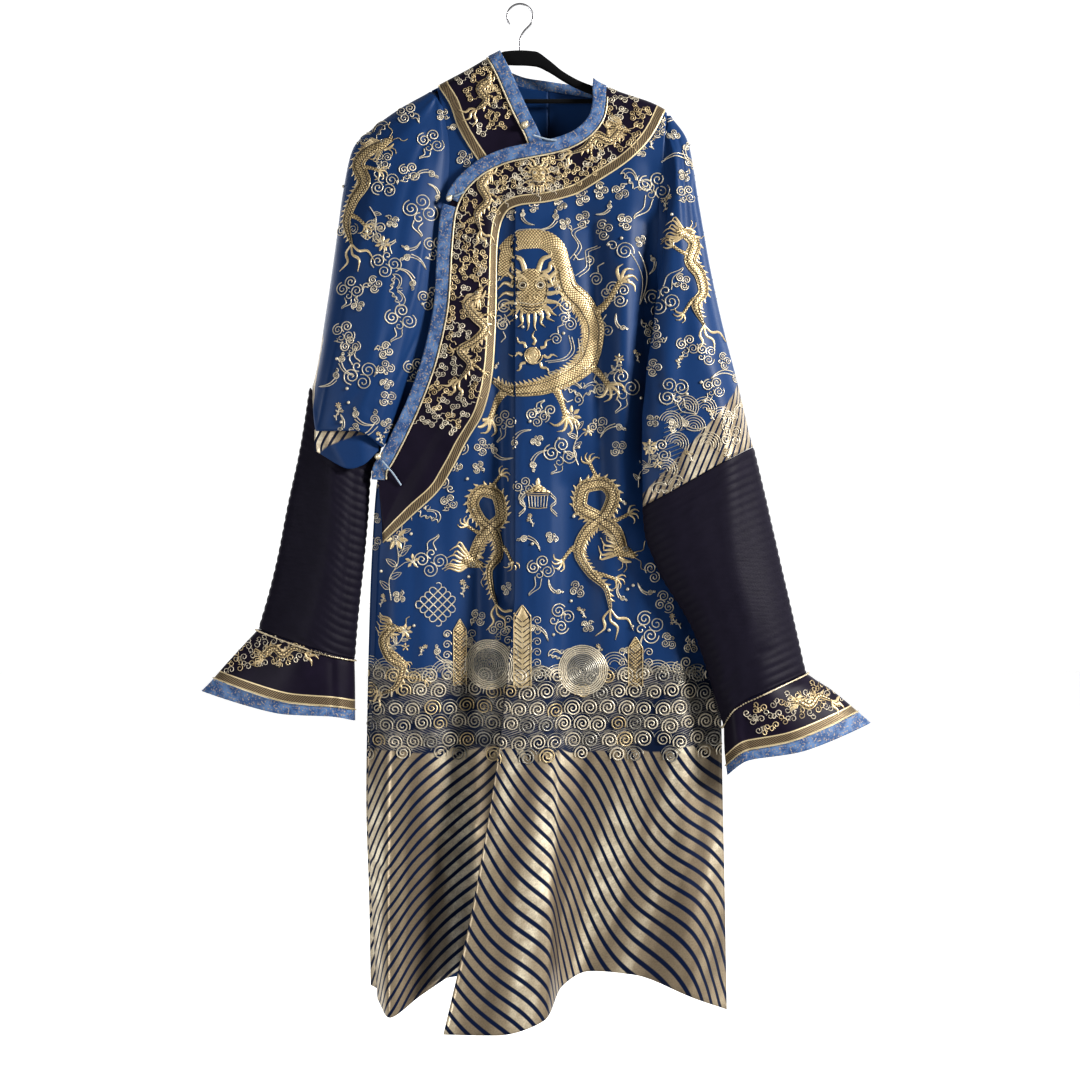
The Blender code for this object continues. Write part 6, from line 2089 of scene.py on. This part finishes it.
# %% Field motifs
MOTIF_REACH = 19            # half the room that a small motif of size 1 needs
TRIES = 9000
for needle in (front, back):
    for place in CLOUDS + SLEEVE_CLOUDS:
        cloud(needle, *place)
    for place in COMMAS:
        comma(needle, *place)
    for place in BATS:
        bat(needle, *place)
    for place in SPRIGS:
        sprig(needle, *place)
    knot(needle, -118, 868, 1.15)
    canopy(needle, 26, 714)
    small = random.Random(21)
    for _ in range(TRIES):
        x, drop = small.uniform(-262, 322), small.uniform(150, 938)
        size = small.choice((0.45, 0.6, 0.8))
        reach = int(MOTIF_REACH * size / CELL)
        spot = needle.find(x, drop)
        column, row = cell_of(x, drop)
        around = {(column + i, row + j)
                  for i in range(-reach, reach + 1) for j in range(-reach, reach + 1)}
        if spot and not around & (needle.busy - {(column, row)}):
            kind, turn, flip = small.random(), small.uniform(0, 360), small.choice((-1, 1))
            if kind < 0.52:
                cloud(needle, x, drop, size, turn, flip, small.choice((0, 0.3, 0.5)))
            elif kind < 0.80:
                comma(needle, x, drop, size * 0.72, turn, flip)
            else:
                sprig(needle, x, drop + 14 * size, size * 0.5, small.uniform(-40, 40), flip)
print("clouds and small motifs sewn")

# %% [markdown]
# ## Waves, rock pillars and discs
# Rows of scrolls roll across the front above the stripes. Three chevroned pillars of rock
# stand in them, and two discs of close rings float beside the middle one.

# %% Waves, rock pillars and discs
SEA_LEVEL = 985             # where the pillars end


def wave_top(x):
    """Drop of the crests at x."""
    return 962 + 9 * math.sin(x / 31) + 5 * math.sin(x / 13 + 1)


for needle in (front, back):
    shift = random.Random(7)
    for row, level in enumerate((970, 993, 1016, 1039, 1062, 1082)):
        for column in range(-9, 14):
            x = column * 25.5 + row % 2 * 12.5
            if level > 1070 and (column * 7) % 5 > 2:
                continue
            radius = 11.6 + shift.uniform(-1.2, 1.2)
            hand = 1 if (x > -15) == (shift.random() > 0.12) else -1
            eye = (x + shift.uniform(-2, 2), level + shift.uniform(-3, 3))
            spot = spiral(radius, 4.6, 90 + 60 * hand, hand, 1.4) + eye
            needle.line(ring(radius + 2.6, 195, 345) + eye, GREY, 0.8)
            needle.line(spot, (SILVER, SILVER, SILVER, GREY, GOLD)[shift.randrange(5)], 1.2, lift=0.9)
    for column in range(-9, 13):
        x = column * 27.5 + shift.uniform(-5, 5)
        for radius in (19, 15, 11, 7):
            needle.line(ring(radius, 190, 350) + (x, wave_top(x) + 6), SILVER if column % 3 else GREY,
                        0.8)
    for x, level, size in ((90, 962, 36), (-44, 955, 36)):
        for radius in np.arange(3, size + 1, 2.7):
            needle.line(ring(radius) + (x, level), GREY if radius < size * 0.62 else SILVER,
                        1.2, lift=1.0)
    for left, right, top, finish in (
            (-8, 16, 884, GOLD), (156, 176, 930, SCALES), (-96, -78, 905, SCALES)):
        middle, wide = (left + right) / 2, right - left
        needle.band([(middle, top - 14), (middle, top), (middle, SEA_LEVEL)],
                    (3, wide, wide, wide, wide, wide), finish, 1.0)
        for edge in (left, right):
            needle.line([(middle, top - 16), (edge, top), (edge, SEA_LEVEL)], GOLD, 1.0, lift=1.2)
        for level in np.arange(top, SEA_LEVEL, 7.5):
            needle.line([(left + 1, level), (middle - 1, level + 8)], DARK, 0.8, lift=1.3)
            needle.line([(middle + 1, level + 8), (right - 1, level)], DARK, 0.8, lift=1.3)
        for level in np.arange(top + 6, SEA_LEVEL - 7, 15):
            for side, edge in ((1, right), (-1, left)):
                curl = spiral(6.5, 3.4, 180 if side > 0 else 0, side) + (edge + side * 9, level)
                needle.line(curl, SILVER, 0.85)
print("waves sewn")

# %% [markdown]
# ## Hatched waves at the end of the long sleeve
# Eight fans of rings overlap there, with slanting lines beside them.

# %% Hatched waves
SLEEVE_FANS = ((222, 640), (246, 616), (268, 640), (236, 588), (262, 590), (206, 676), (286, 604),
               (214, 610))
for needle in (front, back):
    for x, drop in SLEEVE_FANS:
        for radius in (17, 13.5, 10, 6.5, 3):
            needle.line(placed(ring(radius, 170, 370), x, drop, 1, 25), SILVER, 0.8)
    for drop in np.arange(560, 690, 6.5):
        needle.line([(196 + (690 - drop) * 0.1, drop + 12), (226 + (690 - drop) * 0.1, drop)], GREY, 0.8)

print("sleeve fans sewn:", len(SLEEVE_FANS))

# %% [markdown]
# ## Yokes and cuffs
# The navy parts carry slim dragons among small scrolls. The scrolls run along each yoke in a
# few lines and leave room for the dragons.

# %% Yokes
ROOM = 13                   # no scroll starts nearer to a dragon's route than this
navy_front = Needle("navy_front", -1, NAVY_GROUND - {"yoke_back"})
navy_back = Needle("navy_back", 1, NAVY_GROUND - {"yoke_overlap", "yoke_under"})


# Each row: needle, then a dragon as above.
YOKE_DRAGONS = (
    (navy_front, ((-60, 424), (-76, 438), (-64, 456), (-50, 472), (-64, 490), (-86, 504),
                  (-72, 524), (-86, 546)),
     12.0, (0.72, 300, 1), ((0.25, 22, -2), (0.6, -22, 8), (0.85, 20, 12)), 1),
    (navy_front, ((146, 184), (128, 202), (110, 194), (94, 212), (76, 220)),
     12.0, (0.70, 20, 1), ((0.3, -4, -20), (0.7, 4, 20)), 1),
    (navy_front, ((-42, 246), (-56, 266), (-46, 288), (-62, 308), (-56, 332)),
     11.0, (0.62, 300, 1), ((0.4, 18, 6), (0.8, -18, 10)), 1),
    (navy_front, ((-44, 112), (-58, 126), (-48, 142), (-62, 156)),
     11.0, (0.62, 280, 1), ((0.5, 16, 6),), 1),
    (navy_back, ((-11, 186), (3, 196), (17, 190), (31, 204), (45, 198)),
     11.0, (0.60, 180, -1), ((0.3, 4, -18), (0.7, -4, 18)), 1),
)


def scroll_pair(needle, x, drop, turn, finish, *scrolls):
    """Scrolls round one point. Each is a spiral's radius, pitch, start and hand, then its
    place, its size and the thread's radius."""
    for radius, pitch, start, hand, place, size, thread in scrolls:
        needle.line(placed(spiral(radius, pitch, start, hand) + place, x, drop, size, turn),
                    finish, thread)


def small_clouds(needle, rows, shares, start, end, step, seed, size=0.6):
    """Little scrolls in the strip's own width, from start to end along it."""
    shift = random.Random(seed)
    centre = np.stack(((rows[:, 0] + rows[:, 2]) / 2, (rows[:, 1] + rows[:, 3]) / 2), axis=-1)
    run = np.concatenate(([0], np.cumsum(np.linalg.norm(np.diff(centre, axis=0), axis=1))))
    for i, at in enumerate(np.arange(start * run[-1], end * run[-1], step)):
        for j, share in enumerate(shares):
            s = share + shift.uniform(-0.03, 0.03)
            row = [np.interp(at + (j % 2) * step / 2, run, rows[:, k]) for k in range(4)]
            x, drop = row[0] * (1 - s) + row[2] * s, row[1] * (1 - s) + row[3] * s
            if needle.side > 0:
                x = 2 * BACK_CENTRE - x
            turn = shift.uniform(0, 360)
            finish = GOLD if shift.random() < 0.55 else SILVER
            if any(math.hypot(x - a, drop - b) < ROOM
                   for _, route, *_ in YOKE_DRAGONS for a, b in route):
                continue
            scroll_pair(needle, x, drop, turn, finish, (7.4, 3.6, 0, 1, (0, 0), size * 1.15, 0.95),
                        (6.2, 3.4, 180, -1, (9, 5), size * 1.1, 0.8))
            needle.line(placed([(-5, 6), (-12, 10), (-9, 16), (-17, 20)], x, drop, size, turn),
                        finish, 0.8)


small_clouds(navy_front, yoke_rows, (0.22, 0.40, 0.58, 0.74), 0.004, 0.80, 13.5, 11)
small_clouds(navy_front, under_rows, (0.20, 0.36, 0.52, 0.68), 0.01, 0.66, 14, 12)
small_clouds(navy_back, back_rows, (0.22, 0.38, 0.54, 0.70), 0.01, 0.99, 14, 13)
for needle, *row in YOKE_DRAGONS:
    dragon(needle, *row)
dragon_face(navy_front, 27, 252, 0.62)
print("yokes sewn, with", len(YOKE_DRAGONS), "dragons")

# %% [markdown]
# ## Cuffs
# Each cuff has a slanting field of small scrolls. On the front a slim dragon lies in it.

# %% Cuffs' embroidery
for cuff_x, cuff_drop, turn in ((-345, 935, -12), (405, 1010, -18)):
    for needle in (navy_front, navy_back):
        shift = random.Random(int(cuff_x))
        for i in range(-6, 7):
            for j in (-16, -2, 12):
                x, drop = placed([(i * 13 + j * 0.3, j)], cuff_x, cuff_drop, 1, turn)[0]
                x = x if needle.side < 0 else 2 * BACK_CENTRE - x
                lean = shift.uniform(0, 360)
                finish = GOLD if shift.random() < 0.5 else SILVER
                scroll_pair(needle, x, drop, lean, finish, (5.6, 3.2, 0, 1, (0, 0), 1, 0.8),
                            (4.4, 3.0, 180, -1, (7, 4), 1, 0.8))
for route, size, leg in (
        (((-366, 940), (-352, 930), (-338, 940), (-322, 930), (-306, 936)), 0.55, (0.4, 2, 14)),
        (((396, 1004), (412, 1012), (428, 998), (446, 1006)), 0.5, (0.4, 2, -14))):
    dragon(navy_front, route, 9, (size, 170, -1), (leg,), 1)
print("cuffs sewn")

# %% [markdown]
# ## Turning the drawings into threads
# All lines of one finish on one side become one set of edges with a radius. The node group
# sweeps a small section along them. Star dots are little silver knots set by a second group.

# %% Couched thread and star dots
thread_group, given, out = new_group(
    "couched_thread", (("Sides", "Int", 3), ("Finish", "Material", None)))
line = step_of(thread_group, "GeometryNodeMeshToCurve", {"Mesh": given["Geometry"]})[0]
radius = read_mark(thread_group, "radius")
section = step_of(thread_group, "GeometryNodeCurvePrimitiveCircle",
                  {"Resolution": given["Sides"], "Radius": 1.0})[0]
swept = step_of(thread_group, "GeometryNodeCurveToMesh",
                {"Curve": line, "Profile Curve": section, "Scale": radius, "Fill Caps": False})[0]
end_of(thread_group, swept, given["Finish"], out["Geometry"])

dot_group, given, out = new_group(
    "star_dots", (("Size", "Float", 0.0026), ("Finish", "Material", None)))
ball = step_of(dot_group, "GeometryNodeMeshIcoSphere",
               {"Radius": given["Size"], "Subdivisions": 2})[0]
cast = step_of(dot_group, "GeometryNodeInstanceOnPoints",
               {"Points": given["Geometry"], "Instance": ball})[0]
end_of(dot_group, cast, given["Finish"], out["Geometry"])
print("thread group:", len(thread_group.nodes), "nodes, dot group:", len(dot_group.nodes))


# %% [markdown]
# ## Sewing it all down
# Each needle's lines of one finish become one piece, and so do its bands.

# %% One piece for each finish
def keep(piece):
    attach(piece, "root")


def sew_down(needle):
    """Make a needle's pieces. Returns about how many triangles they have."""
    total = 0
    for finish, runs in needle.lines.items():
        points, edges, radii = [], [], []
        for run, radius in runs:
            edges += [(len(points) + i, len(points) + i + 1) for i in range(len(run) - 1)]
            points += [tuple(point) for point in run]
            radii += [radius * MM] * len(run)
        mesh = bpy.data.meshes.new(needle.name + "_" + finish.name)
        mesh.from_pydata(points, edges, [])
        marks = mesh.attributes.new("radius", "FLOAT", "POINT")
        marks.data.foreach_set("value", np.array(radii, np.float32))
        piece = show(mesh.name, mesh)
        keep(grow(piece, thread_group, {"Sides": 3, "Finish": finish}))
        total += len(piece.data.polygons) * 2
    for finish, faces in needle.bands.items():
        places = [tuple(place) for corners, _ in faces for place in corners]
        mesh = bpy.data.meshes.new(needle.name + "_" + finish.name + "_bands")
        mesh.from_pydata(places, [], [range(4 * i, 4 * i + 4) for i in range(len(faces))])
        layer = mesh.uv_layers.new(name="flat")
        layer.data.foreach_set("uv", np.array([spots for _, spots in faces], np.float32).ravel())
        work = bmesh.new()
        work.from_mesh(mesh)
        bmesh.ops.remove_doubles(work, verts=work.verts, dist=1e-5)
        wrong = [face for face in work.faces if face.normal.y * needle.side < 0]
        bmesh.ops.reverse_faces(work, faces=wrong)
        work.to_mesh(mesh)
        work.free()
        mesh.shade_smooth()
        mesh.materials.append(finish)
        keep(show(mesh.name, mesh))
        total += len(mesh.polygons) * 2
    return total


for needle in (front, back, navy_front, navy_back):
    print(needle.name, "triangles:", sew_down(needle))

# %% [markdown]
# ## Star dots
# Small knots are scattered over the blue field, by turns in front and behind.

# %% Star dots
DOTS = 120
shift = random.Random(5)
dots = []
while len(dots) < DOTS:
    needle = front if len(dots) % 2 else back
    spot = needle.find(shift.uniform(-260, 270), shift.uniform(230, 940))
    if spot:
        dots.append(tuple(spot[0] + spot[1] * 0.0006))
dot_mesh = bpy.data.meshes.new("star_dots")
dot_mesh.from_pydata(dots, [], [])
keep(grow(show("star_dots", dot_mesh), dot_group, {"Finish": SILVER, "Size": 0.0024}))
meshes = [piece.data for piece in bpy.data.objects if piece.type == "MESH"]
print("triangles added:", sum(len(face.vertices) - 2 for mesh in meshes for face in mesh.polygons))
